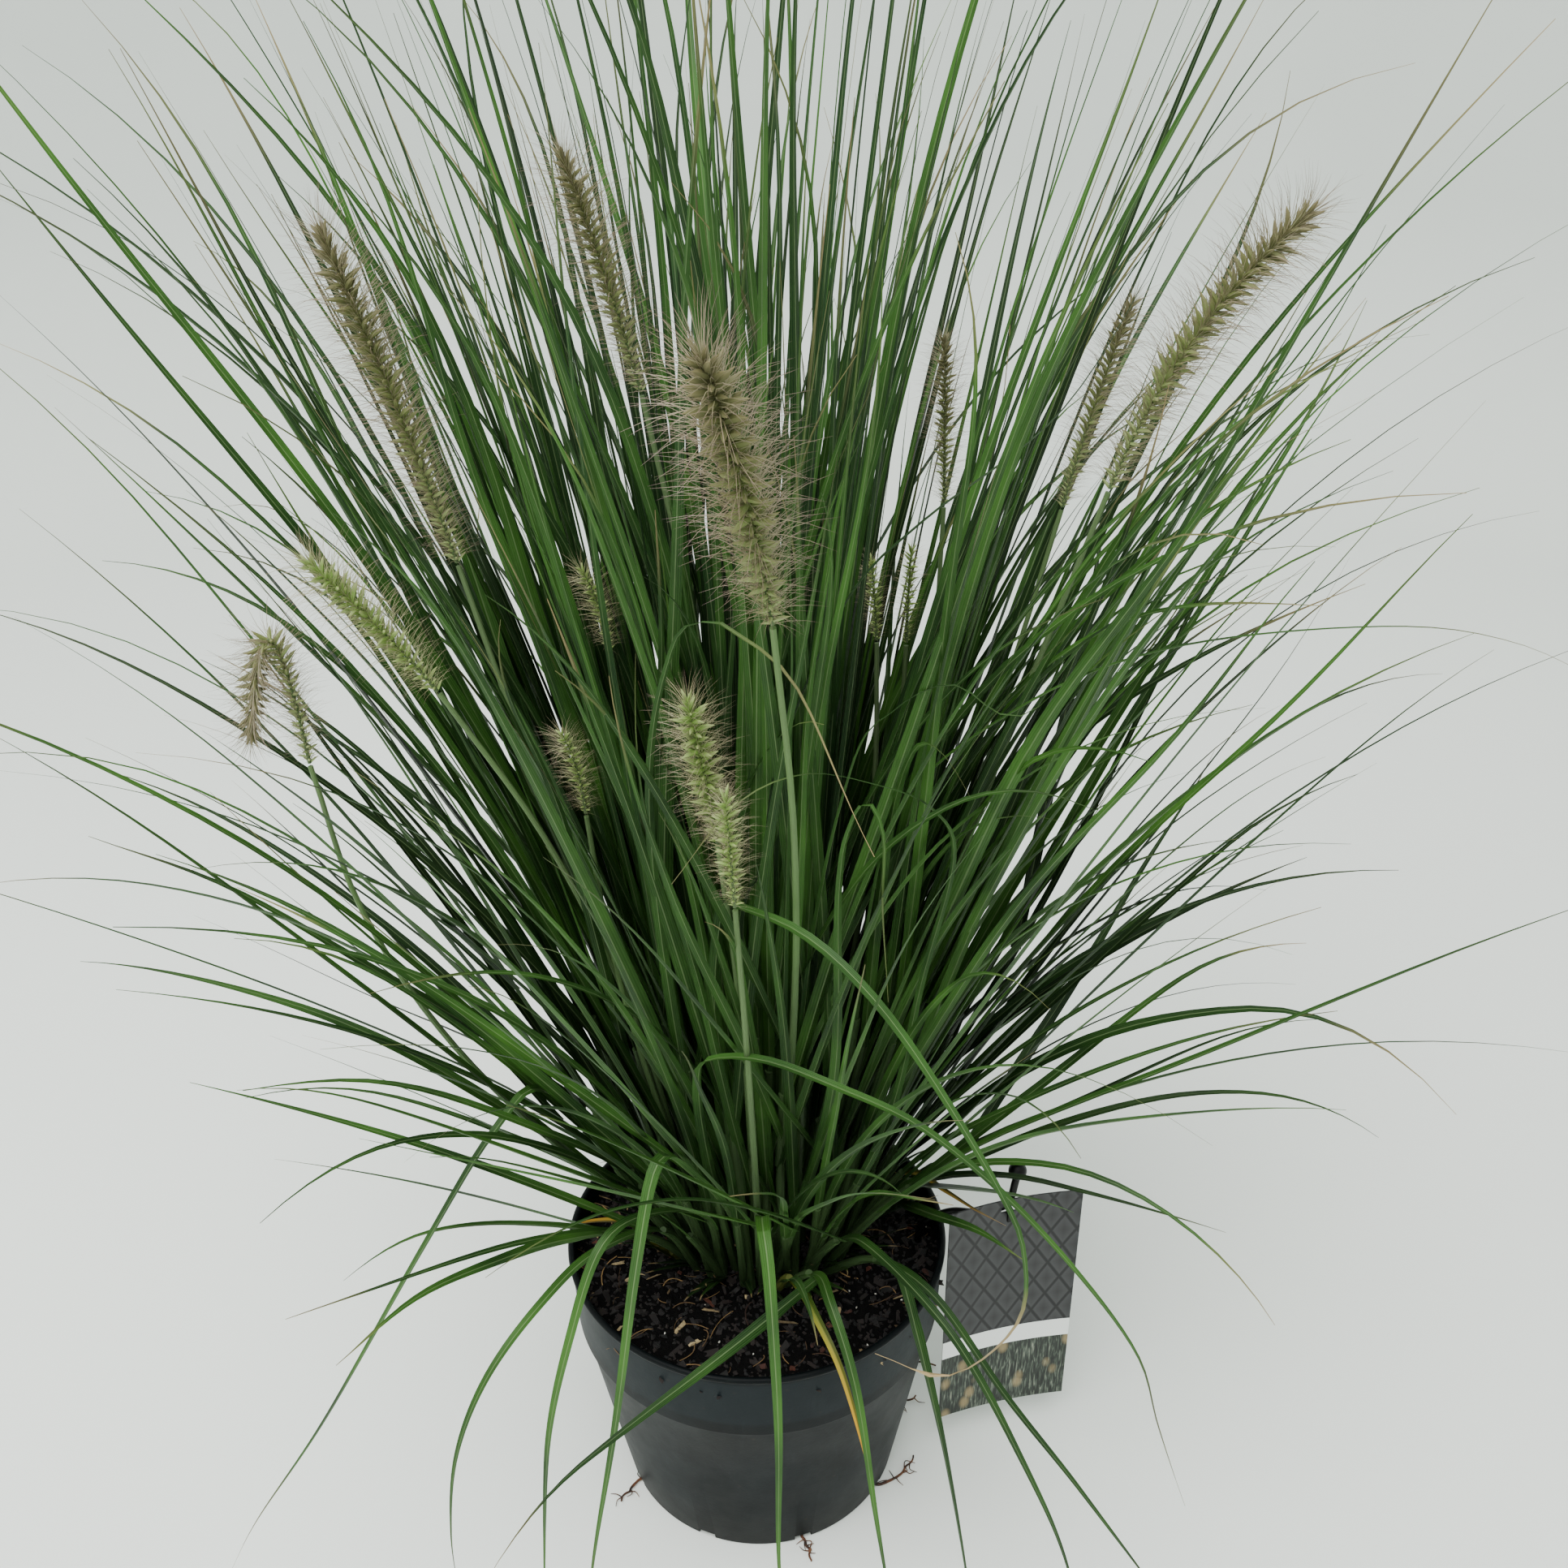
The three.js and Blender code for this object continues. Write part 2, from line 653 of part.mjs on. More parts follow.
// Flower heads: where each one starts, bends and ends, the radius of its core and of its
// bristles, and the distance and angle of its culm's root from the middle of the crown.
const HEADS = [
  ['flower_head_left_tall', [-104, -38, 520], [-116, -42, 578], [-133, -49, 637], 6.8, 17, 30, 195],
  ['flower_head_top', [-35, -13, 576], [-44, -16, 618], [-56, -21, 657], 6, 16, 16, 215],
  ['flower_head_centre', [13, -153, 543], [8, -172, 590], [-3, -195, 631], 8, 19, 26, 274],
  ['flower_head_right_tall', [138, -24, 541], [156, -27, 600], [193, -34, 638], 7.4, 18, 34, 346],
  ['flower_head_right_inner', [134, 46, 510], [144, 50, 552], [157, 55, 591], 5.4, 13, 30, 24],
  ['flower_head_back_right', [91, 109, 490], [90, 108, 528], [88, 105, 565], 5, 12, 33, 50],
  ['flower_head_left_young', [-112, -60, 478], [-128, -64, 506], [-148, -69, 531], 6.6, 16, 40, 212],
  ['flower_head_left_nodding', [-168, -48, 442], [-171, -49, 540], [-187, -52, 456], 6, 15, 46, 186],
  ['flower_head_small_upper', [-52, -20, 476], [-54, -21, 498], [-60, -23, 510], 4, 10, 20, 190],
  ['flower_head_small_left', [-63, -44, 416], [-64, -45, 440], [-69, -48, 453], 4, 10, 30, 225],
  ['flower_head_front_dense', [-9, -86, 427], [-12, -92, 460], [-17, -97, 489], 7, 14, 32, 262],
  ['flower_head_front_small', [-2, -116, 418], [-3, -118, 441], [-4, -119, 464], 5, 10, 42, 268],
  ['flower_head_small_right', [57, 42, 452], [56, 42, 470], [54, 41, 488], 3.8, 8, 18, 38],
  ['flower_head_small_back', [72, 66, 440], [72, 66, 462], [73, 67, 484], 3.8, 8, 40, 46],
];
const YOUNG_HEADS = ['young', 'small', 'dense'];

function plantCulms() {
  for (const [name, foot, bend, tip, core, spread, distance, angle] of HEADS) {
    const { root, bunch } = seat(distance, angle);
    const head = { name, core, spread, foot: new THREE.Vector3(...foot) };
    head.bend = new THREE.Vector3(...bend);
    head.tip = new THREE.Vector3(...tip);
    const along = head.bend.clone().sub(head.foot).normalize();
    const top = head.foot.clone().addScaledVector(along, -1.2 - CLEAR);
    const rise = root.distanceTo(top);
    const reachDown = top.clone().addScaledVector(along, -0.4 * rise);
    const route = [];
    for (let i = 0; i <= 4; i++) {
      route.push(headLine(root, reachDown, top, i / 4).toArray());
    }
    const line = routeLine(route);
    const culm = { ...line, bunch, id: shoots.length, parent: -1, stride: 4, round: true, leaves: 1 };
    culm.footWidth = SHEATH_WIDTH * 0.85;
    culm.width = CULM_WIDTH;
    culm.sheath = 0.6;
    chords.push(...chordsOf(culm));
    shoots.push(culm);
    for (let i = 0; i < 5; i++) {
      const p = headLine(head.foot, head.bend, head.tip, i / 5);
      const q = headLine(head.foot, head.bend, head.tip, (i + 1) / 5);
      chords.push({ p, q, half: spread * 0.72 + 1.5, bunch: -1, owner: FIXED });
    }
    heads.push(head);
  }
}

const heads = [];
plantCulms();

// Long front blades that show one by one: root distance and angle, width, then their route.
const FRONT_BLADES = [
  ['yellow_over_rim', 47, 214, 5.4, [[-50, -20, 158], [-62, -16, 168], [-80, -12, 166],
    [-102, -10, 158]]],
  ['to_upper_right', 30, 262, 5.2, [[-5, -70, 370], [5, -85, 420], [12, -95, 470], [35, -100, 530],
    [60, -95, 555], [105, -80, 585], [135, -60, 625], [158, -40, 668]]],
  ['crook', 35, 240, 5, [[-25, -50, 275], [-30, -95, 445], [-20, -115, 520], [-10, -124, 534],
    [0, -130, 530], [15, -140, 515], [25, -165, 475]]],
  ['arch_to_left', 40, 300, 3.4, [[58, -48, 250], [72, -58, 340], [80, -80, 415], [68, -96, 447],
    [45, -110, 465], [22, -120, 474], [0, -130, 468], [-22, -136, 440]]],
  ['wave', 25, 290, 4.6, [[25, -60, 350], [40, -90, 460], [55, -96, 487], [75, -95, 498],
    [95, -90, 488], [110, -85, 491], [122, -80, 502]]],
  ['long_right', 25, 300, 4.2, [[45, -50, 340], [60, -60, 425], [100, -75, 475], [150, -85, 503],
    [220, -95, 515], [265, -98, 510], [305, -102, 492]]],
  ['hairpin', 35, 283, 5.2, [[35, -60, 285], [36, -85, 405], [40, -95, 440], [46, -101, 452],
    [52, -105, 440], [53, -111, 415], [58, -117, 380]]],
  ['over_rim_right', 20, 255, 5.6, [[-10, -50, 300], [-5, -75, 393], [5, -95, 407], [25, -110, 406],
    [45, -125, 394], [66, -137, 368], [95, -150, 318], [106, -155, 288], [105, -155, 250],
    [80, -152, 218], [50, -150, 228]]],
  ['low_arch_right', 38, 250, 5.2, [[-20, -60, 250], [-20, -90, 320], [-13, -98, 336], [8, -107, 342],
    [35, -120, 339], [65, -130, 328], [95, -140, 304], [125, -150, 272], [153, -155, 232],
    [164, -160, 200], [180, -162, 155]]],
  ['hang_left_broad', 40, 262, 6.2, [[-10, -40, 195], [-25, -75, 255], [-36, -104, 288],
    [-46, -124, 250], [-60, -140, 165], [-72, -147, 90], [-78, -150, 40]]],
  ['hang_left_outer', 42, 240, 5.4, [[-22, -45, 200], [-45, -80, 236], [-62, -104, 242],
    [-76, -120, 208], [-90, -128, 150], [-96, -132, 70], [-98, -134, 25]]],
  ['hang_middle', 45, 270, 5.6, [[5, -66, 215], [5, -92, 243], [8, -113, 228], [10, -128, 165],
    [10, -135, 80], [10, -138, 20]]],
  ['hang_right_inner', 45, 283, 4.8, [[28, -66, 185], [34, -98, 200], [44, -118, 172],
    [52, -129, 112], [60, -133, 60], [64, -135, 22]]],
  ['hang_right', 42, 296, 5, [[40, -50, 190], [55, -75, 207], [85, -120, 203], [115, -142, 150],
    [140, -152, 92], [152, -156, 45]]],
  ['hang_right_outer', 47, 303, 4.4, [[55, -48, 176], [80, -80, 186], [112, -110, 152],
    [146, -124, 108], [180, -130, 55], [192, -132, 25]]],
  ['short_yellowed', 47, 279, 4.4, [[15, -40, 155], [21, -62, 172], [28, -85, 177],
    [38, -104, 166], [48, -114, 132], [56, -118, 98]]],
  ['orange_to_card', 47, 352, 6, [[60, -2, 172], [76, -6, 190], [92, -17, 188], [105, -25, 184],
    [120, -31, 178]]],
  ['tall_left', 18, 238, 5, [[-30, -30, 300], [-44, -48, 450], [-50, -62, 600], [-48, -70, 700]]],
  ['tall_right', 22, 296, 5, [[26, -28, 300], [40, -40, 450], [56, -50, 600], [72, -60, 710]]],
];

// Measured side blades: root distance and angle, azimuth, length, width, then the lean from
// upright at equal steps along the blade.
const SIDE_BLADES = [
  [30, 158, 158, 650, 5.2, [20, 19, 18, 25, 41, 66]],
  [35, 150, 150, 650, 6, [31, 28, 23, 25, 22, 24]],
  [45, 165, 165, 600, 5, [18, 18, 21, 27, 40, 75]],
  [45, 175, 175, 550, 5, [17, 18, 21, 27, 43, 80]],
  [47, 187, 185, 540, 5, [20, 22, 24, 26, 31, 44]],
  [47, 192, 190, 500, 4.8, [16, 18, 25, 34, 52, 85]],
  [47, 198, 195, 500, 5, [20, 26, 33, 38, 46, 62]],
  [46, 204, 200, 470, 4.8, [18, 22, 28, 36, 50, 84]],
  [47, 200, 200, 410, 4.4, [10, 18, 32, 52, 66, 66]],
  [47, 207, 206, 370, 4, [13, 18, 32, 44, 56, 84]],
  [47, 190, 190, 300, 4.2, [16, 28, 52, 60, 54, 56]],
  [47, 197, 196, 260, 4.4, [20, 40, 66, 66, 74, 88]],
  [47, 215, 214, 250, 3.6, [24, 44, 62, 68, 70, 74]],
  [38, 30, 30, 600, 5, [22, 24, 31, 44, 66, 76]],
  [47, 10, 10, 560, 5, [30, 26, 24, 30, 44, 76]],
  [45, 5, 5, 500, 4.4, [23, 23, 25, 32, 56, 74]],
  [45, 15, 15, 500, 4.2, [34, 30, 25, 22, 24, 40]],
  [47, 0, 0, 420, 4.4, [26, 29, 31, 31, 29, 18]],
  [47, 352, 350, 380, 4, [22, 24, 28, 33, 46, 56]],
  [47, 346, 345, 400, 4.4, [20, 30, 42, 44, 42, 44]],
  [47, 341, 340, 340, 4, [16, 19, 28, 38, 52, 78]],
  [47, 338, 338, 330, 3.8, [18, 28, 42, 46, 50, 60]],
  [47, 346, 345, 280, 4, [24, 42, 53, 50, 50, 58]],
  [47, 336, 335, 265, 3.6, [20, 26, 44, 58, 62, 56]],
  [47, 333, 335, 290, 4, [20, 30, 50, 70, 108, 142]],
  [47, 344, 346, 210, 4.6, [22, 40, 74, 96, 98, 96]],
];

// The two long blades that hang outside the pot on the left.
const LEFT_HANGING = [
  ['hang_far_left', 46, 214, 5, [[-66, -28, 215], [-92, -52, 285], [-110, -78, 284],
    [-140, -100, 240], [-190, -115, 152], [-228, -121, 92], [-245, -123, 58]]],
  ['hang_left_rim', 47, 228, 5, [[-44, -38, 185], [-70, -76, 210], [-90, -110, 214],
    [-110, -134, 198], [-124, -145, 165], [-131, -150, 122], [-133, -152, 84]]],
];

const NUDGES = [0, 3, -3, 6, -6, 9, -9, 13, -13, 18, -18, 24, -24];

function plantRoute([, distance, angle, width, route]) {
  plant(NUDGES.length, (k) => {
    const { root, bunch } = seat(distance, angle + NUDGES[k]);
    const slide = NUDGES[k] * 0.5;
    const moved = route.map(([x, y, z], i) => {
      const share = 1 - i / route.length;
      return [x + slide * share, y, z - Math.abs(slide) * share];
    });
    const line = routeLine([root.toArray(), ...moved]);
    return {
      ...line, bunch, parent: -1, width, sheath: 0.2, footWidth: SHEATH_WIDTH, leaves: 1,
      stride: route.length > 6 ? 2 : 3,
    };
  });
}

function plantMeasured([distance, angle, azimuth, length, width, leans], index) {
  const draw = draws(200 + index);
  const swerve = 14 * (draw() - 0.5);
  const twist = 120 * (draw() - 0.5);
  plant(NUDGES.length, (k) => {
    const { root, bunch } = seat(distance, angle + NUDGES[k] / 2);
    const turn = azimuth + NUDGES[k] / 2;
    const line = leanLine(root, [turn, turn, turn + swerve], leans, length, twist);
    return {
      ...line, bunch, parent: -1, stride: 4, width, sheath: 0.24, footWidth: SHEATH_WIDTH, leaves: 2,
    };
  });
}

FRONT_BLADES.forEach(plantRoute);
LEFT_HANGING.forEach(plantRoute);
SIDE_BLADES.forEach(plantMeasured);

// The space in front of each head stays open, towards the place the plant is looked at from.
const VIEWED_FROM = new THREE.Vector3(16, -587, 728);
for (const head of heads) {
  for (let i = 0; i < 5; i++) {
    const p = headLine(head.foot, head.bend, head.tip, (i + 0.5) / 5);
    const q = p.clone().addScaledVector(VIEWED_FROM.clone().sub(p).normalize(), 240);
    chords.push({ p, q, half: head.spread * 0.55, bunch: -1, owner: FIXED });
  }
}

// Shoots that fill the clump: they stand up in its middle and lean out towards its edge.
const FILL_SHOOTS = 39;
const GOLDEN_ANGLE = 137.508;

function plantFill(index) {
  const draw = draws(400 + index);
  plant(14, () => {
    const q = Math.sqrt((index + 0.4) / FILL_SHOOTS);
    const distance = 11 + (CROWN.r - 13) * clamp(q + 0.12 * (draw() - 0.5), 0, 1);
    const angle = index * GOLDEN_ANGLE + 34 * (draw() - 0.5);
    const { root, bunch } = seat(distance, angle);
    const lean = 0.5 + 9.7 * q ** 1.5 + 6 * (draw() - 0.4);
    const droop = 6 + 34 * draw() ** 2.2 + 7 * q;
    const length = mix(700, 526, q) * (0.86 + 0.17 * draw());
    const power = 1.6 + 1.6 * draw();
    const leans = [0, 1, 2, 3, 4, 5].map((i) => lean + droop * (i / 5) ** power);
    const turn = angle + 30 * (draw() - 0.5);
    const twist = 150 * (draw() - 0.5);
    const line = leanLine(root, [turn, turn, turn + 26 * (draw() - 0.5)], leans, length, twist);
    const width = 3 + 2.8 * draw();
    return {
      ...line, bunch, parent: -1, stride: 4, width, sheath: 0.3, footWidth: SHEATH_WIDTH, leaves: 2,
    };
  });
}

for (let i = 0; i < FILL_SHOOTS; i++) plantFill(i);

// Shorter shoots at the edge of the crown, which lean well out.
const EDGE_SHOOTS = 15;

function plantEdge(index) {
  const draw = draws(6000 + index);
  plant(12, () => {
    const angle = index * GOLDEN_ANGLE + 30 * draw();
    const { root, bunch } = seat(CROWN.r - 2 - 8 * draw(), angle);
    const lean = 20 + 26 * draw();
    const droop = 5 + 50 * draw() ** 2;
    const length = 260 + 190 * draw();
    const rising = [0.6, 0.8, 1, 1, 1, 1];
    const leans = rising.map((share, i) => lean * share + droop * (i / 5) ** 2);
    const turn = angle + 50 * (draw() - 0.5);
    const twist = 150 * (draw() - 0.5);
    const line = leanLine(root, [turn, turn, turn + 30 * (draw() - 0.5)], leans, length, twist);
    const width = 3 + 2 * draw();
    return {
      ...line, bunch, parent: -1, stride: 4, width, sheath: 0.2, footWidth: SHEATH_WIDTH, leaves: 1,
    };
  });
}

for (let i = 0; i < EDGE_SHOOTS; i++) plantEdge(i);

// Leaves leave the sheath of a shoot by turns on its two sides, each at its own height.
function plantLeaf(shoot, index, number) {
  const draw = draws(1000 + 7 * shoot.id + index);
  plant(12, () => {
    const height = clamp(0.07 + (0.3 * (index + draw())) / number, 0.05, 0.4);
    const i = Math.floor((height * STEPS) / shoot.stride);
    const from = shoot.points[i * shoot.stride];
    const to = shoot.points[(i + 1) * shoot.stride];
    const start = from.clone().lerp(to, (height * STEPS) / shoot.stride - i);
    const way = to.clone().sub(from).normalize();
    const lean0 = (Math.acos(way.z) * 180) / Math.PI;
    const heading = (Math.atan2(way.y, way.x) * 180) / Math.PI;
    const side = index % 2 ? 1 : -1;
    const turn = heading + side * (8 + 60 * draw() ** 1.5);
    const open = 3 + 8 * draw();
    const droop = 5 + 60 * draw() ** 2.6;
    const power = 1.4 + 1.6 * draw();
    const length = (330 + 230 * draw()) * mix(1, 0.5, clamp((lean0 + 0.06 * droop) / 50, 0, 1));
    const leans = [0, 1, 2, 3, 4].map((j) => lean0 + open + droop * (j / 4) ** power);
    const twist = 170 * (draw() - 0.5);
    const line = leanLine(start, [turn, turn + 18 * (draw() - 0.5)], leans, length, twist);
    const width = 3.9 + 2 * draw();
    return { ...line, bunch: shoot.bunch, parent: shoot.id, stride: 6, width, sheath: 0 };
  });
}

const stems = [...shoots];
for (const shoot of stems) {
  const number = shoot.leaves;
  for (let i = 0; i < number; i++) plantLeaf(shoot, i, number);
}

// Short cut leaf ends that stand out round the foot of the clump.
const STUBS = 18;

function plantStub(index) {
  const draw = draws(3000 + index);
  plant(10, () => {
    const angle = index * GOLDEN_ANGLE + 20 * draw();
    const { root, bunch } = seat(CROWN.r - 9 * draw(), angle);
    root.z = CROWN.top - 2;
    const lean = 38 + 26 * draw();
    const turn = angle + 50 * (draw() - 0.5);
    const line = leanLine(root, [turn, turn], [lean, lean + 8], 26 + 30 * draw());
    return { ...line, bunch, parent: -1, stride: 24, width: 3 + draw(), sheath: 0 };
  });
}

for (let i = 0; i < STUBS; i++) plantStub(i);

// Crown: the matted foot of each bunch, one sector of the round hole in the soil
function crownSector([, from, to]) {
  const shape = new THREE.Shape();
  const inner = 4;
  const edge = (r, angle, sign) => {
    const a = deg(angle) + (sign * CLEAR * 0.6) / r;
    return new THREE.Vector2(r * Math.cos(a), r * Math.sin(a));
  };
  const outer = CROWN.r + 3.4;
  const points = [edge(inner, from, 1), edge(outer, from, 1)];
  const steps = Math.round((to - from) / 10);
  for (let i = 1; i < steps; i++) points.push(edge(outer, mix(from, to, i / steps), 0));
  points.push(edge(outer, to, -1), edge(inner, to, -1));
  shape.setFromPoints(points);
  const block = new THREE.ExtrudeGeometry(shape, {
    depth: CROWN.top - CROWN.floor,
    bevelEnabled: false,
  });
  block.translate(CROWN.x, CROWN.y, CROWN.floor);
  return solid(block);
}

// Roots that have grown out through the slots and lie on the ground: their routes seen from above
const ROOT_HEIGHT = 1.25;
const DRAIN_ROOTS = [
  ['drain_root_left', [[-57, -30], [-65, -34], [-70, -41], [-74, -46]]],
  ['drain_root_front', [[19.5, -62], [22, -70], [25, -76], [25, -82]]],
  ['drain_root_right_front', [[55, -35], [63, -38], [74, -32], [82, -21]]],
  ['drain_root_right', [[64, 8.6], [73, 10], [80, 15], [87, 18]]],
  ['drain_root_right_back', [[44, 48], [51, 55], [72, 48], [100, 39]]],
];

addPiece('pot', pot(), COLOURS.pot, 0.5);
addPiece('soil', soil(), COLOURS.soil, 1);
addPiece('label_stake', labelStake(), COLOURS.stake, 0.4);
addPiece('label_card', labelCard(), COLOURS.card, 0.5);

for (const [name, route] of DRAIN_ROOTS) {
  const line = routeLine(route.map(([x, y]) => [x, y, ROOT_HEIGHT]));
  addPiece(name, rodSolid(line, 1.8, 0.8), COLOURS.root, 0.9);
}

for (const [index, bunch] of BUNCHES.entries()) {
  const mine = shoots.filter((blade) => blade.bunch === index);
  const bodies = mine.map((blade) => (blade.round
    ? rodSolid(blade, blade.footWidth, blade.width)
    : bladeSolid(blade)));
  addPiece(bunch[0], whole(joined([crownSector(bunch), ...bodies])), COLOURS.leaf);
}

for (const head of heads) {
  const young = YOUNG_HEADS.some((word) => head.name.includes(word));
  addPiece(head.name, headSolid(head), young ? COLOURS.youngHead : COLOURS.head, 0.9);
}

export default part;
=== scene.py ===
import json
import math

import bmesh
import bpy
import numpy as np
from mathutils import Matrix, Vector, noise

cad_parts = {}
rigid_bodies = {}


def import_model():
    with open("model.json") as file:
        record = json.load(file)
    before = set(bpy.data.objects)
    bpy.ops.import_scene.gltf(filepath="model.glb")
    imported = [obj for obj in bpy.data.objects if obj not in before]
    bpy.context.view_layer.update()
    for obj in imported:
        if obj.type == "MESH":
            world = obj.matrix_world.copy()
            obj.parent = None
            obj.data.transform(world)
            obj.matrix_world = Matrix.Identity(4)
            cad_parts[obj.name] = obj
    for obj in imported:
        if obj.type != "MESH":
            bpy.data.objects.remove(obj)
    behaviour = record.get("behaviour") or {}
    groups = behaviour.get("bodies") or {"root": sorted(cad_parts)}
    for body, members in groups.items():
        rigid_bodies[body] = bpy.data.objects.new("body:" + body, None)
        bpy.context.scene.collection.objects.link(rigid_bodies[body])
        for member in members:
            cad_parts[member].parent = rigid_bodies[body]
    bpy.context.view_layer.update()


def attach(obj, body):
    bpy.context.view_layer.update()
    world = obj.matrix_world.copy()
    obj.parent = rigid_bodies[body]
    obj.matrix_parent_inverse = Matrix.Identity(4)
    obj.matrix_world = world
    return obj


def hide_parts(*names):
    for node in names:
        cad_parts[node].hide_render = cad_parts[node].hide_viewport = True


# Potted fountain grass: a nursery pot of potting mix, one clump of arching grass with fourteen
# bristly flower heads, a hanging plant label and a few roots that came out under the pot.
# The origin is the middle of the pot's flat underside, +Z is up and -Y is the front. Sizes are
# in millimetres and become metres where a mesh is made.
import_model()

# Pot: a 19 cm nursery pot, moulded in one piece from recycled grey polypropylene. Its wall
# steps out to a collar and ends in a rolled rim, and nine drain slots cut its bottom edge.
MM = 0.001
POT_HEIGHT = 148
POT_RIM_R = 95
POT_BASE_R = 72
POT_WALL = 1.4
POT_FLOOR = 2
COLLAR_Z = 108
COLLAR_R = 90.8
COLLAR_STEP = 1.6
BEAD_R = 1.7
POT_SIDES = 180
DRAIN_HOLES = 9
DRAIN_WIDTH = 9
DRAIN_HEIGHT = 4
DRAIN_DEPTH = 16
DRAIN_TURN = 7.6
# Heights where the collar's painted light and the rolled rim's painted shade begin.
COLLAR_PAINTED_LIGHT_Z = 114.5
RIM_PAINTED_SHADE_Z = 142.5


def mix(a, b, t):
    return a + (b - a) * t


def pot_wall_r(z):
    """The outer radius of the pot's wall below its collar."""
    return mix(POT_BASE_R, COLLAR_R, z / COLLAR_Z)


def pot_inner_r(z):
    """The inner radius of the pot at a height."""
    above = max(0, z - COLLAR_Z) / (POT_HEIGHT - COLLAR_Z)
    return mix(pot_wall_r(min(z, COLLAR_Z)), POT_RIM_R - 0.6, above) - POT_WALL


def arc(middle_r, middle_z, radius, start, end, steps):
    """Points of a profile along a round stretch, from one angle in degrees to the next."""
    turns = [math.radians(mix(start, end, i / steps)) for i in range(steps + 1)]
    return [(middle_r + radius * math.cos(a), middle_z + radius * math.sin(a)) for a in turns]


def add_piece(name, vertices, faces, edges=()):
    """A new object at the origin from vertices in millimetres."""
    mesh = bpy.data.meshes.new(name)
    mesh.from_pydata([tuple(v) for v in np.asarray(vertices) * MM], edges, faces)
    piece = bpy.data.objects.new(name, mesh)
    bpy.context.scene.collection.objects.link(piece)
    return piece


def lathe(name, profile, sides):
    """Turns a profile of radius and height round Z. A radius of 0 is a pole."""
    vertices, rings, faces = [], [], []
    turns = [2 * math.pi * k / sides for k in range(sides)]
    for r, z in profile:
        first = len(vertices)
        if r == 0:
            vertices.append((0, 0, z))
            rings.append([first] * sides)
        else:
            vertices += [(r * math.cos(a), r * math.sin(a), z) for a in turns]
            rings.append(list(range(first, first + sides)))
    for low, high in zip(rings, rings[1:]):
        for k in range(sides):
            loop = [low[k], low[(k + 1) % sides], high[(k + 1) % sides], high[k]]
            faces.append(list(dict.fromkeys(loop)))
    return add_piece(name, vertices, faces)


def settle(piece, crease=30):
    """Turns a piece and its modifiers into one plain smooth mesh with creases past an angle."""
    bpy.context.view_layer.update()
    depsgraph = bpy.context.evaluated_depsgraph_get()
    made = bpy.data.meshes.new_from_object(
        piece.evaluated_get(depsgraph), preserve_all_data_layers=True, depsgraph=depsgraph)
    piece.modifiers.clear()
    piece.data = made
    made.shade_smooth()
    made.set_sharp_from_angle(angle=math.radians(crease))
    return piece


def cut(piece, cutter):
    """Cuts another object's shape out of a piece and removes that object."""
    boolean = piece.modifiers.new("cut", "BOOLEAN")
    boolean.operation = "DIFFERENCE"
    boolean.object = cutter
    settle(piece)
    bpy.data.objects.remove(cutter)


def block(middle, size, turn=0):
    """Corners and faces of a box, turned round its own upright axis."""
    c, s = math.cos(math.radians(turn)), math.sin(math.radians(turn))
    corners = []
    for k in range(8):
        x, y, z = [size[i] * ((k >> i & 1) - 0.5) for i in range(3)]
        corners.append((middle[0] + c * x - s * y, middle[1] + s * x + c * y, middle[2] + z))
    faces = [(0, 2, 3, 1), (4, 5, 7, 6), (0, 1, 5, 4), (2, 6, 7, 3), (0, 4, 6, 2), (1, 3, 7, 5)]
    return corners, faces


def linear(colour):
    """An sRGB hex colour as linear red, green, blue and alpha."""
    values = [int(colour[i : i + 2], 16) / 255 for i in (1, 3, 5)]
    return [v / 12.92 if v <= 0.04045 else ((v + 0.055) / 1.055) ** 2.4 for v in values] + [1]


def add(tree, kind, inputs=(), stops=(), **settings):
    """Adds a node. Each input is a value, a hex colour or another node's socket, and stops are
    the places and colours of a ramp."""
    made = tree.nodes.new(kind)
    for name, value in settings.items():
        setattr(made, name, value)
    for key, value in dict(inputs).items():
        if isinstance(value, bpy.types.NodeSocket):
            tree.links.new(value, made.inputs[key])
        elif isinstance(value, str) and value.startswith("#"):
            made.inputs[key].default_value = linear(value)
        else:
            made.inputs[key].default_value = value
    for i, (place, colour) in enumerate(stops):
        element = made.color_ramp.elements[i] if i < 2 else made.color_ramp.elements.new(place)
        element.position = place
        element.color = linear(colour)
    return made


def new_material(name, **finish):
    """A material's tree and its shader, with the shader's own values set."""
    material = bpy.data.materials.new(name)
    material.use_nodes = True
    tree = material.node_tree
    shader = tree.nodes["Principled BSDF"]
    for label, value in finish.items():
        shader.inputs[label.replace("_", " ")].default_value = value
    return material, tree, shader


def coats(tree, under, layers):
    """Lays coats of colour over one another. A coat is how far it covers, and its colour."""
    for cover, colour in layers:
        laid = add(tree, "ShaderNodeMix", {0: cover, 6: under, 7: colour}, data_type="RGBA")
        under = laid.outputs[2]
    return under


def wire(tree, shader, **made):
    """Links what a material's nodes make to the shader's inputs."""
    for label, socket in made.items():
        tree.links.new(socket, shader.inputs[label.replace("_", " ")])


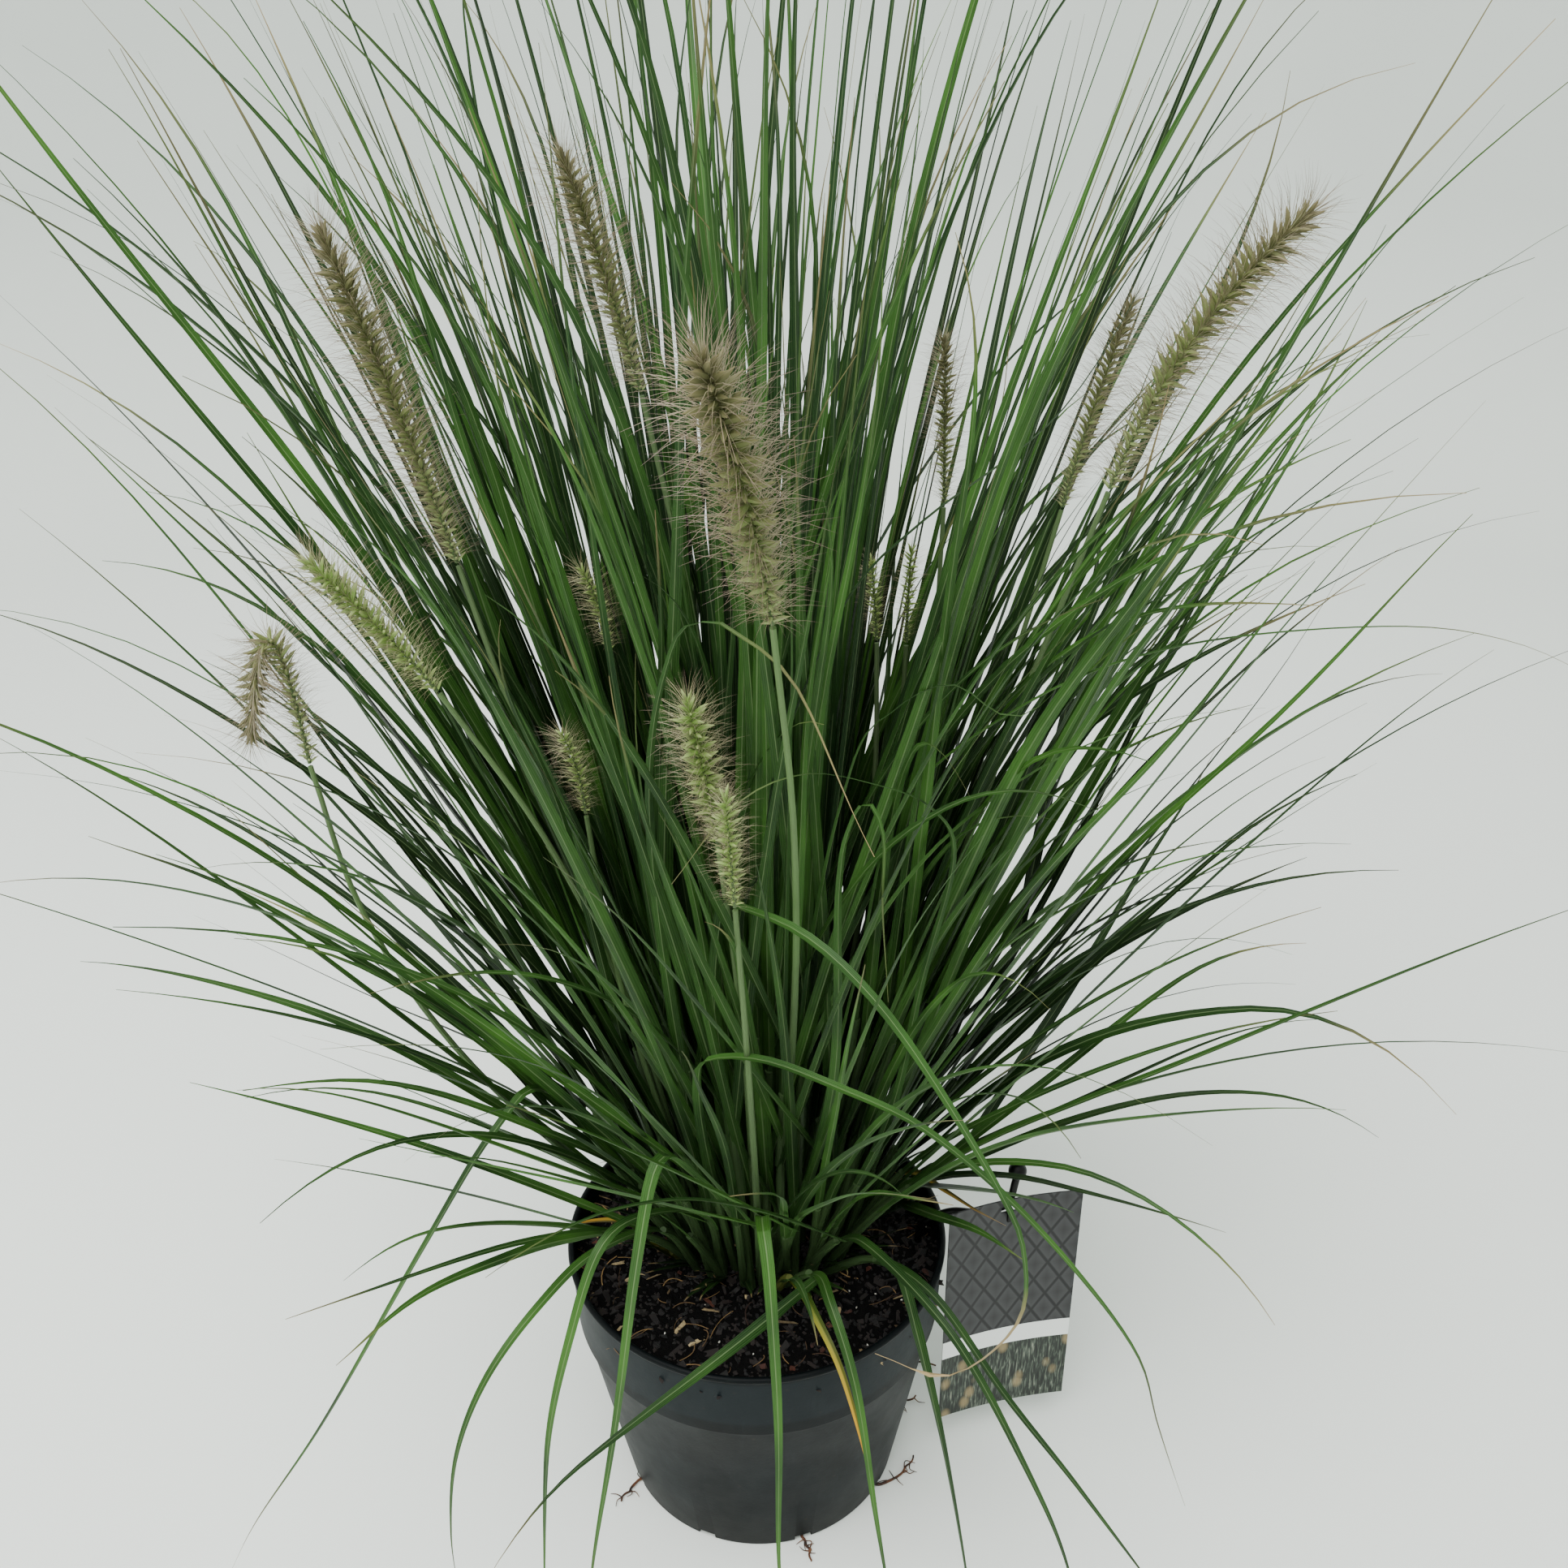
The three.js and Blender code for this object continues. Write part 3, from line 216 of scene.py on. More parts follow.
def polypropylene():
    """Recycled polypropylene, injection moulded: a matt slate grey with cloudy mottling, pale
    scuffs, splashes of dried soil and a film of dust near the foot. The collar is painted
    lighter as painted light, and the rolled rim near-black as painted shade."""
    material, tree, shader = new_material("recycled polypropylene", IOR=1.49, Metallic=0.0,
                                          Specular_IOR_Level=0.1)
    place = add(tree, "ShaderNodeTexCoord").outputs["Object"]
    cloud = add(tree, "ShaderNodeTexNoise", {"Vector": place, "Scale": 24.0, "Detail": 5.0})
    grain = add(tree, "ShaderNodeTexNoise", {"Vector": place, "Scale": 700.0, "Detail": 2.0})
    tone = add(tree, "ShaderNodeValToRGB", {"Fac": cloud.outputs["Fac"]},
               stops=[(0.32, "#020405"), (0.68, "#070d10")])
    streak_place = add(tree, "ShaderNodeMapping", {"Vector": place, "Scale": (150.0, 150.0, 22.0)})
    streak = add(tree, "ShaderNodeTexNoise", {"Vector": streak_place.outputs[0], "Scale": 1.0,
                                              "Detail": 4.0, "Roughness": 0.7})
    scuff = add(tree, "ShaderNodeMapRange", {"Value": streak.outputs["Fac"], "From Min": 0.6,
                                             "From Max": 0.78, "To Max": 0.22})
    smudge = add(tree, "ShaderNodeTexNoise", {"Vector": place, "Scale": 55.0, "Detail": 6.0,
                                              "Roughness": 0.65})
    dirty = add(tree, "ShaderNodeMapRange", {"Value": smudge.outputs["Fac"], "From Min": 0.56,
                                             "From Max": 0.74, "To Max": 0.55})
    height = add(tree, "ShaderNodeSeparateXYZ", {"Vector": place}).outputs["Z"]
    low = add(tree, "ShaderNodeMapRange", {"Value": height, "From Min": 0.0, "From Max": 0.03,
                                           "To Min": 0.4, "To Max": 0.0})
    film = add(tree, "ShaderNodeMath", {0: low.outputs[0], 1: cloud.outputs["Fac"]},
               operation="MULTIPLY")
    cells = add(tree, "ShaderNodeTexVoronoi", {"Vector": place, "Scale": 130.0, "Randomness": 1.0})
    speck = add(tree, "ShaderNodeMapRange", {"Value": cells.outputs["Distance"],
                                             "From Min": 0.06, "From Max": 0.16,
                                             "To Min": 1.0, "To Max": 0.0})
    chosen = add(tree, "ShaderNodeSeparateColor", {"Color": cells.outputs["Color"]})
    few = add(tree, "ShaderNodeMath", {0: chosen.outputs[0], 1: 0.72}, operation="GREATER_THAN")
    specks = add(tree, "ShaderNodeMath", {0: speck.outputs[0], 1: few.outputs[0]},
                 operation="MULTIPLY")
    # Painted light: above this height the collar is painted a lighter grey for the light it
    # catches.
    band = add(tree, "ShaderNodeMapRange", {"Value": height, "From Min": COLLAR_PAINTED_LIGHT_Z * MM,
                                            "From Max": (COLLAR_PAINTED_LIGHT_Z + 2) * MM, "To Max": 0.55})
    # Painted shade: the rolled rim above this height is painted near-black.
    rim = add(tree, "ShaderNodeMapRange", {"Value": height, "From Min": RIM_PAINTED_SHADE_Z * MM,
                                           "From Max": (RIM_PAINTED_SHADE_Z + 2) * MM, "To Max": 0.75})
    colour = coats(tree, tone.outputs["Color"], [
        (scuff.outputs[0], "#2d363b"), (dirty.outputs[0], "#040606"),
        (film.outputs[0], "#2f2d28"), (specks.outputs[0], "#1d1713"),
        (band.outputs[0], "#131c20"), (rim.outputs[0], "#020303")])
    rough = add(tree, "ShaderNodeMapRange", {"Value": smudge.outputs["Fac"], "To Min": 0.38,
                                             "To Max": 0.62})
    relief = add(tree, "ShaderNodeBump", {"Height": grain.outputs["Fac"], "Strength": 0.12,
                                          "Distance": 0.3 * MM})
    wire(tree, shader, Base_Color=colour, Roughness=rough.outputs[0],
         Normal=relief.outputs["Normal"])
    return material


def fit(piece, slot, *nodes):
    """Fixes a finished piece to the part: its body and the solids it stands for. The slot, for its
    finish, is not used.
    """
    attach(piece, "root")
    if nodes:
        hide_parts(*nodes)


foot_corner = arc(POT_BASE_R - 1.5, 1.5, 1.5, -90, -8, 5)
rim_bead = arc(POT_RIM_R - BEAD_R, POT_HEIGHT - BEAD_R, BEAD_R, -75, 200, 14)
pot = lathe("nursery_pot", [
    (0, 0.6), (62, 0.6), (64, 0), *foot_corner,
    (pot_wall_r(55), 55), (pot_wall_r(106.6), 106.6), (COLLAR_R + 0.2, 107.4),
    (COLLAR_R + 1.1, 107.7), (COLLAR_R + COLLAR_STEP - 0.1, 108.2),
    (COLLAR_R + COLLAR_STEP + 0.1, 109.2), (POT_RIM_R - 1.4, POT_HEIGHT - 4.6),
    *rim_bead, (pot_inner_r(COLLAR_Z + 30), COLLAR_Z + 30), (pot_inner_r(COLLAR_Z), COLLAR_Z),
    (pot_inner_r(POT_FLOOR), POT_FLOOR), (0, POT_FLOOR),
], POT_SIDES)
slots, slot_faces = [], []
for i in range(DRAIN_HOLES):
    turn = DRAIN_TURN + 360 / DRAIN_HOLES * i
    middle = [(POT_BASE_R - 4) * f(math.radians(turn)) for f in (math.cos, math.sin)]
    size = (DRAIN_DEPTH, DRAIN_WIDTH, DRAIN_HEIGHT * 2)
    corners, faces = block((*middle, 0), size, turn)
    slot_faces += [[v + len(slots) for v in face] for face in faces]
    slots += corners
cut(pot, add_piece("drain slots", slots, slot_faces))
pot.data.materials.append(polypropylene())
fit(pot, "pot_plastic", "pot")

# Potting mix: dark peat pressed in by hand, with crumbs, flakes of bark, pale wood chips, white
# grains and dry root threads loose on top. Its surface heaps up a little round the crown.
CLEAR = 0.3
SOIL_TOP = 135
CROWN_X = 3
CROWN_Y = 22
CROWN_R = 50
CROWN_TOP = 138
HEAP_RISE = 3.2
HEAP_R = 74
SOIL_RINGS = 62
SOIL_SIDES = 260
TOP_NORMAL = 0.5


def soil_height(x, y):
    """Height of the potting mix: a low heap at the crown with lumps of three sizes."""
    from_crown = math.hypot(x - CROWN_X, y - CROWN_Y)
    heap = HEAP_RISE * max(0, 1 - (from_crown / HEAP_R) ** 2)
    lumps = 1.9 * noise.noise((x / 21, y / 21, 0.3)) + 1.3 * noise.noise((x / 8, y / 8, 4.1))
    return SOIL_TOP - 1.1 + heap + lumps + 0.9 * noise.noise((x / 3, y / 3, 7.7))


def soil_body():
    """The closed body of the potting mix, from its underside up the wall and over the top."""
    under = POT_FLOOR + CLEAR
    wall = [(pot_inner_r(under) - CLEAR, under), (pot_inner_r(COLLAR_Z) - CLEAR, COLLAR_Z),
            (pot_inner_r(SOIL_TOP) - CLEAR, SOIL_TOP - 3)]
    edge = pot_inner_r(SOIL_TOP) - CLEAR
    top = [(edge * (1 - (i / SOIL_RINGS) ** 1.2), SOIL_TOP) for i in range(SOIL_RINGS + 1)]
    body = lathe("soil_bed", [(0, under), *wall, *top], SOIL_SIDES)
    for vertex in body.data.vertices:
        if vertex.co.z > (SOIL_TOP - 1) * MM:
            vertex.co.z = soil_height(vertex.co.x / MM, vertex.co.y / MM) * MM
    return body


def peat():
    """Damp peat: nearly black with reddish-brown fibre, fully rough, and broken up by crumbs."""
    material, tree, shader = new_material("damp peat", Roughness=0.95, Metallic=0.0,
                                          Specular_IOR_Level=0.12)
    place = add(tree, "ShaderNodeTexCoord").outputs["Object"]
    crumb = add(tree, "ShaderNodeTexNoise", {"Vector": place, "Scale": 420.0, "Detail": 6.0,
                                             "Roughness": 0.75})
    colour = add(tree, "ShaderNodeValToRGB", {"Fac": crumb.outputs["Fac"]},
                 stops=[(0.4, "#020202"), (0.58, "#060505"), (0.7, "#120b08"), (0.82, "#2a1a11")])
    relief = add(tree, "ShaderNodeBump", {"Height": crumb.outputs["Fac"], "Strength": 0.9,
                                          "Distance": 1.2 * MM})
    wire(tree, shader, Base_Color=colour.outputs["Color"], Normal=relief.outputs["Normal"])
    return material


def litter_material(name, dark, pale, grain):
    """Dry litter: each bit has its own shade between two colours, with a fine streaky grain."""
    material, tree, shader = new_material(name, Roughness=0.85, Metallic=0.0)
    place = add(tree, "ShaderNodeTexCoord").outputs["Object"]
    tone = add(tree, "ShaderNodeAttribute", attribute_name="tone").outputs["Fac"]
    streak = add(tree, "ShaderNodeTexNoise", {"Vector": place, "Scale": grain, "Detail": 3.0})
    shade = add(tree, "ShaderNodeMath", {0: tone, 1: streak.outputs["Fac"]}, operation="MULTIPLY")
    scaled = add(tree, "ShaderNodeMath", {0: shade.outputs[0], 1: 2.0}, operation="MULTIPLY")
    colour = add(tree, "ShaderNodeValToRGB", {"Fac": scaled.outputs[0]},
                 stops=[(0.1, dark), (0.9, pale)])
    relief = add(tree, "ShaderNodeBump", {"Height": streak.outputs["Fac"], "Strength": 0.5,
                                          "Distance": 0.4 * MM})
    wire(tree, shader, Base_Color=colour.outputs["Color"], Normal=relief.outputs["Normal"])
    return material


def new_tree(name, inputs):
    """A Geometry Nodes tree with named inputs. Returns it with its input and output nodes."""
    tree = bpy.data.node_groups.new(name, "GeometryNodeTree")
    face = tree.interface
    face.new_socket("Geometry", in_out="INPUT", socket_type="NodeSocketGeometry")
    for label, kind in inputs.items():
        face.new_socket(label, in_out="INPUT", socket_type="NodeSocket" + kind)
    face.new_socket("Geometry", in_out="OUTPUT", socket_type="NodeSocketGeometry")
    return tree, tree.nodes.new("NodeGroupInput"), tree.nodes.new("NodeGroupOutput")


def close_tree(tree, shape, given, made):
    """Ends a tree: copies become real, take the given material and go to the output."""
    real = add(tree, "GeometryNodeRealizeInstances", {"Geometry": shape})
    dressed = add(tree, "GeometryNodeSetMaterial", {"Geometry": real.outputs[0],
                                                    "Material": given.outputs["Material"]})
    tree.links.new(dressed.outputs[0], made.inputs[0])
    return tree


def grow(piece, tree, **values):
    """Runs a tree on a piece with the named inputs set, and leaves the piece a plain mesh."""
    modifier = piece.modifiers.new(tree.name, "NODES")
    modifier.node_group = tree
    for socket in tree.interface.items_tree:
        name = socket.name.replace(" ", "_")
        if socket.in_out == "INPUT" and name in values:
            modifier[socket.identifier] = values.pop(name)
    if values:
        raise ValueError("no such input: " + ", ".join(values))
    return settle(piece)


def litter_tree(name, shape):
    """Scatters one kind of bit over the upward faces: a crumb, a flake or a thread."""
    tree, given, made = new_tree(name, {
        "Density": "Float", "Smallest": "Vector", "Largest": "Vector", "Tilt": "Float",
        "Seed": "Int", "Material": "Material",
    })
    if shape == "thread":
        bend = add(tree, "GeometryNodeCurveQuadraticBezier", {
            "Resolution": 6, "Start": (-0.5, 0.0, 0.0), "Middle": (0.0, 0.45, 0.3),
            "End": (0.5, 0.0, 0.0)})
        section = add(tree, "GeometryNodeCurvePrimitiveCircle", {"Resolution": 3, "Radius": 0.018})
        bit = add(tree, "GeometryNodeCurveToMesh", {
            "Curve": bend.outputs[0], "Profile Curve": section.outputs[0], "Fill Caps": True})
        bit_shape = bit.outputs[0]
    else:
        if shape == "crumb":
            ball = add(tree, "GeometryNodeMeshIcoSphere", {"Radius": 0.5, "Subdivisions": 1})
            bare = ball.outputs[0]
        else:
            bare = add(tree, "GeometryNodeMeshCube", {"Size": (1.0, 1.0, 1.0)}).outputs[0]
        spot = add(tree, "GeometryNodeInputIndex")
        rough = add(tree, "FunctionNodeRandomValue", {
            "Min": (-0.2, -0.2, -0.2), "Max": (0.2, 0.2, 0.2), "ID": spot.outputs[0],
            "Seed": 5}, data_type="FLOAT_VECTOR")
        bit = add(tree, "GeometryNodeSetPosition", {"Geometry": bare, "Offset": rough.outputs[0]})
        bit_shape = bit.outputs[0]
    upward = add(tree, "GeometryNodeInputNormal")
    normal = add(tree, "ShaderNodeSeparateXYZ", {0: upward.outputs[0]})
    facing = add(tree, "ShaderNodeMath", {0: normal.outputs["Z"], 1: TOP_NORMAL},
                 operation="GREATER_THAN")
    points = add(tree, "GeometryNodeDistributePointsOnFaces", {
        "Mesh": given.outputs["Geometry"], "Selection": facing.outputs[0],
        "Density": given.outputs["Density"], "Seed": given.outputs["Seed"]})
    shade = add(tree, "FunctionNodeRandomValue", {"Seed": 21})
    toned = add(tree, "GeometryNodeStoreNamedAttribute", {
        "Geometry": points.outputs["Points"], "Name": "tone", "Value": shade.outputs[1]})
    negative = add(tree, "ShaderNodeMath", {0: given.outputs["Tilt"], 1: -1.0},
                   operation="MULTIPLY")
    lowest = add(tree, "ShaderNodeCombineXYZ", {0: negative.outputs[0], 1: negative.outputs[0]})
    highest = add(tree, "ShaderNodeCombineXYZ", {0: given.outputs["Tilt"],
                                                 1: given.outputs["Tilt"], 2: 2 * math.pi})
    lie = add(tree, "FunctionNodeRandomValue", {"Min": lowest.outputs[0], "Max": highest.outputs[0],
                                                "Seed": 8}, data_type="FLOAT_VECTOR")
    size = add(tree, "FunctionNodeRandomValue", {
        "Min": given.outputs["Smallest"], "Max": given.outputs["Largest"], "Seed": 13},
        data_type="FLOAT_VECTOR")
    placed = add(tree, "GeometryNodeInstanceOnPoints", {
        "Points": toned.outputs[0], "Instance": bit_shape, "Rotation": lie.outputs[0],
        "Scale": size.outputs[0]})
    return close_tree(tree, placed.outputs[0], given, made)


soil = settle(soil_body())
crumb_tree = litter_tree("soil crumbs", "crumb")
flake_tree = litter_tree("soil flakes", "flake")
thread_tree = litter_tree("soil threads", "thread")
dark_litter = litter_material("composted bark", "#030202", "#170d09", 500.0)
red_litter = litter_material("pine bark", "#1a0b07", "#4c2415", 500.0)
wood_litter = litter_material("dry wood chips", "#4b3823", "#a3906a", 700.0)
white_litter = litter_material("perlite", "#a9a69c", "#e6e3da", 400.0)
straw_litter = litter_material("dry root threads", "#2e1a10", "#86693f", 300.0)
LITTER = [
    ("soil_crumbs", crumb_tree, 95000.0, (0.8, 0.8, 0.6), (3.2, 2.6, 2.0), 3.0, dark_litter),
    ("soil_bark", flake_tree, 16000.0, (2.0, 1.2, 0.5), (7.5, 3.6, 1.3), 0.6, dark_litter),
    ("soil_red_bark", flake_tree, 1500.0, (2.0, 1.2, 0.5), (6.5, 3.0, 1.2), 0.6, red_litter),
    ("soil_wood_chips", flake_tree, 2300.0, (2.5, 0.5, 0.3), (8.5, 1.7, 0.8), 0.5, wood_litter),
    ("soil_white_grains", crumb_tree, 1200.0, (0.6, 0.6, 0.5), (1.6, 1.4, 1.2), 3.0, white_litter),
    ("soil_threads", thread_tree, 4000.0, (7.0, 5.0, 4.0), (22.0, 20.0, 12.0), 0.4, straw_litter),
]
for number, (name, tree, density, smallest, largest, tilt, finish) in enumerate(LITTER):
    litter = bpy.data.objects.new(name, soil.data.copy())
    bpy.context.scene.collection.objects.link(litter)
    grow(litter, tree, Density=density, Smallest=[v * MM for v in smallest],
         Largest=[v * MM for v in largest], Tilt=tilt, Seed=number + 3, Material=finish)
    fit(litter, "potting_soil")
soil.data.materials.append(peat())
fit(soil, "potting_soil", "soil")

# Label stake: a black plastic wire pushed into the soil by the rim. It leans out over the pot,
# ends in a round knob, and its small lug carries the card by the slot.
CARD_X, CARD_Y = 129, -8
CARD_TURN = 13.6
CARD_TOP = 171
CARD_BOW = 3
CARD_THICK = 0.8
SLOT_U = -3
SLOT_DROP = 6
SLOT_WIDTH = 8
SLOT_HEIGHT = 3.4
STAKE_X, STAKE_Y = 82, 3.6
STAKE_FOOT = 100
STAKE_R = 1.9
KNOB_R = 4.6
LUG_WIDTH = 3.2
LUG_THICK = 2.2
LUG_DROP = 7.5
SLOT_Z = CARD_TOP - SLOT_DROP


def card_spot(u, n, z):
    """A place on the card: u along its width, n out of its printed face, z above the ground."""
    c, s = math.cos(math.radians(CARD_TURN)), math.sin(math.radians(CARD_TURN))
    return np.array([CARD_X + u * c + n * s, CARD_Y + u * s - n * c, z])


def route_line(route, steps):
    """A smooth line through a few chosen points, cut into equal lengths, with its length."""
    p = np.array(route, float)
    knots = np.vstack([2 * p[0] - p[1], p, 2 * p[-1] - p[-2]])
    dense = []
    for a, b, c, d in zip(knots, knots[1:], knots[2:], knots[3:]):
        for t in np.arange(12) / 12:
            dense.append(a * (-0.5 * t + t**2 - 0.5 * t**3) + b * (1 - 2.5 * t**2 + 1.5 * t**3)
                         + c * (0.5 * t + 2 * t**2 - 1.5 * t**3) + d * (-0.5 * t**2 + 0.5 * t**3))
    dense = np.array(dense + [p[-1]])
    run = np.concatenate([[0], np.cumsum(np.linalg.norm(np.diff(dense, axis=0), axis=1))])
    at = np.linspace(0, run[-1], steps + 1)
    return np.stack([np.interp(at, run, dense[:, k]) for k in range(3)], axis=1), run[-1]


def lines_piece(name, lines):
    """Loose lines as one mesh. Each line is a dict of points and of what its points carry."""
    points = np.vstack([line["points"] for line in lines])
    edges, first = [], 0
    for line in lines:
        count = len(line["points"])
        edges += [(first + i, first + i + 1) for i in range(count - 1)]
        first += count
    piece = add_piece(name, points, [], edges)
    for key in lines[0]:
        if key == "points":
            continue
        values = [np.broadcast_to(line[key], (len(line["points"]), *np.shape(line[key])[1:]))
                  for line in lines]
        flat = np.concatenate(values).astype(np.float32)
        kind = "FLOAT_VECTOR" if flat.ndim == 2 else "FLOAT"
        layer = piece.data.attributes.new(key, kind, "POINT")
        layer.data.foreach_set("vector" if flat.ndim == 2 else "value", flat.ravel())
    return piece


def stem_tree():
    """Draws round stems along loose lines, as wide as each point's width in metres."""
    tree, given, made = new_tree("round stems", {"Sides": "Int", "Material": "Material"})
    width = add(tree, "GeometryNodeInputNamedAttribute", {"Name": "width"}, data_type="FLOAT")
    line = add(tree, "GeometryNodeMeshToCurve", {"Mesh": given.outputs["Geometry"]})
    section = add(tree, "GeometryNodeCurvePrimitiveCircle", {
        "Resolution": given.outputs["Sides"], "Radius": 0.5})
    stem = add(tree, "GeometryNodeCurveToMesh", {
        "Curve": line.outputs[0], "Profile Curve": section.outputs[0],
        "Scale": width.outputs[0], "Fill Caps": True})
    return close_tree(tree, stem.outputs[0], given, made)


def black_plastic():
    """Injection-moulded polystyrene: black and satin, with faint scratches and dust."""
    material, tree, shader = new_material("black polystyrene", IOR=1.55, Metallic=0.0,
                                          Specular_IOR_Level=0.15)
    place = add(tree, "ShaderNodeTexCoord").outputs["Object"]
    dust = add(tree, "ShaderNodeTexNoise", {"Vector": place, "Scale": 300.0, "Detail": 4.0})
    colour = add(tree, "ShaderNodeValToRGB", {"Fac": dust.outputs["Fac"]},
                 stops=[(0.45, "#020202"), (0.75, "#0f0e0d")])
    rough = add(tree, "ShaderNodeMapRange", {"Value": dust.outputs["Fac"], "To Min": 0.25,
                                             "To Max": 0.55})
    wire(tree, shader, Base_Color=colour.outputs["Color"], Roughness=rough.outputs[0])
    return material


def joined(name, pieces):
    """Joins the meshes of several objects in the first one, and keeps the material of each."""
    body = bmesh.new()
    kept = []
    for piece in pieces:
        first = len(body.faces)
        body.from_mesh(piece.data)
        body.faces.ensure_lookup_table()
        for face in body.faces[first:]:
            material = piece.data.materials[face.material_index]
            if material not in kept:
                kept.append(material)
            face.material_index = kept.index(material)
    for piece in pieces[1:]:
        bpy.data.objects.remove(piece)
    whole = pieces[0]
    whole.data.materials.clear()
    for material in kept:
        whole.data.materials.append(material)
    body.to_mesh(whole.data)
    body.free()
    whole.name = name
    return whole


behind = CARD_BOW + CARD_THICK / 2 + STAKE_R + 0.8
STAKE_ROUTE = [
    (STAKE_X, STAKE_Y, STAKE_FOOT), (STAKE_X, STAKE_Y, SOIL_TOP + 2), (86, 3, 149), (98, 2, 156),
    card_spot(-16, -behind - 4, 159), card_spot(SLOT_U, -behind, SLOT_Z),
    card_spot(1, -behind - 0.5, CARD_TOP + 7), card_spot(2, -behind - 1, CARD_TOP + 14),
]
stem_shape = stem_tree()
stake_black = black_plastic()
rod_line, _ = route_line(STAKE_ROUTE, 60)
stake_rod = lines_piece("stake rod", [{"points": rod_line, "width": np.array([2 * STAKE_R * MM])}])
grow(stake_rod, stem_shape, Sides=16, Material=stake_black)
knob = lathe("stake knob", [(0, -KNOB_R), *arc(0, 0, KNOB_R, -80, 80, 14), (0, KNOB_R)], 28)
knob.data.materials.append(stake_black)
knob.data.transform(Matrix.Translation(Vector(STAKE_ROUTE[-1]) * MM))
lug_front = CARD_THICK / 2 - CARD_BOW + 3.2
lug_top = SLOT_Z + SLOT_HEIGHT / 2 - CLEAR
lug_through = add_piece("lug through", *block(
    card_spot(SLOT_U, (lug_front - behind) / 2, lug_top - LUG_THICK / 2),
    (LUG_WIDTH, lug_front + behind, LUG_THICK), CARD_TURN))
lug_down = add_piece("lug down", *block(
    card_spot(SLOT_U, lug_front - 1, lug_top - LUG_DROP / 2), (LUG_WIDTH, 2, LUG_DROP),
    CARD_TURN))
for lug in (lug_through, lug_down):
    lug.data.materials.append(stake_black)
    rounding = lug.modifiers.new("rounding", "BEVEL")
    rounding.width = 0.5 * MM
    rounding.segments = 3
    settle(lug)
stake = settle(joined("black_stake", [stake_rod, knob, lug_through, lug_down]))
fit(stake, "stake_plastic", "label_stake")

# Label card: a sheet of printed polypropylene that hangs on the lug by its slot and bows back
# between its long edges. A quilted grey field, a white band and a grassy picture are printed.
CARD_WIDTH = 70
CARD_HEIGHT = 145
CARD_COLUMNS = 28
CARD_ROWS = 40
QUILT = 13.5
BAND_TOP = 56
BAND_FOOT = 44


def card_sheet():
    """The bowed sheet: its bow fades a little towards the bottom edge, where it hangs flat."""
    vertices, faces = [], []
    row = CARD_COLUMNS + 1
    for face in (0.5, -0.5):
        for j in range(CARD_ROWS + 1):
            z = CARD_TOP - CARD_HEIGHT * (1 - j / CARD_ROWS)
            bow = CARD_BOW * mix(0.75, 1, j / CARD_ROWS)
            for i in range(row):
                u = CARD_WIDTH * (i / CARD_COLUMNS - 0.5)
                sag = bow * (1 - (2 * u / CARD_WIDTH) ** 2)
                vertices.append(card_spot(u, face * CARD_THICK - sag, z))
    back = row * (CARD_ROWS + 1)
    for j in range(CARD_ROWS):
        for i in range(CARD_COLUMNS):
            a = j * row + i
            faces.append((a, a + 1, a + row + 1, a + row))
            faces.append((back + a, back + a + row, back + a + row + 1, back + a + 1))
    top, right = CARD_ROWS * row, CARD_COLUMNS
    for i in range(CARD_COLUMNS):
        faces.append((i, back + i, back + i + 1, i + 1))
        faces.append((top + i, top + i + 1, back + top + i + 1, back + top + i))
    for j in range(CARD_ROWS):
        a = j * row
        faces.append((a, a + row, back + a + row, back + a))
        faces.append((right + a, back + right + a, back + right + a + row, right + a + row))
    return add_piece("printed_card", vertices, faces)


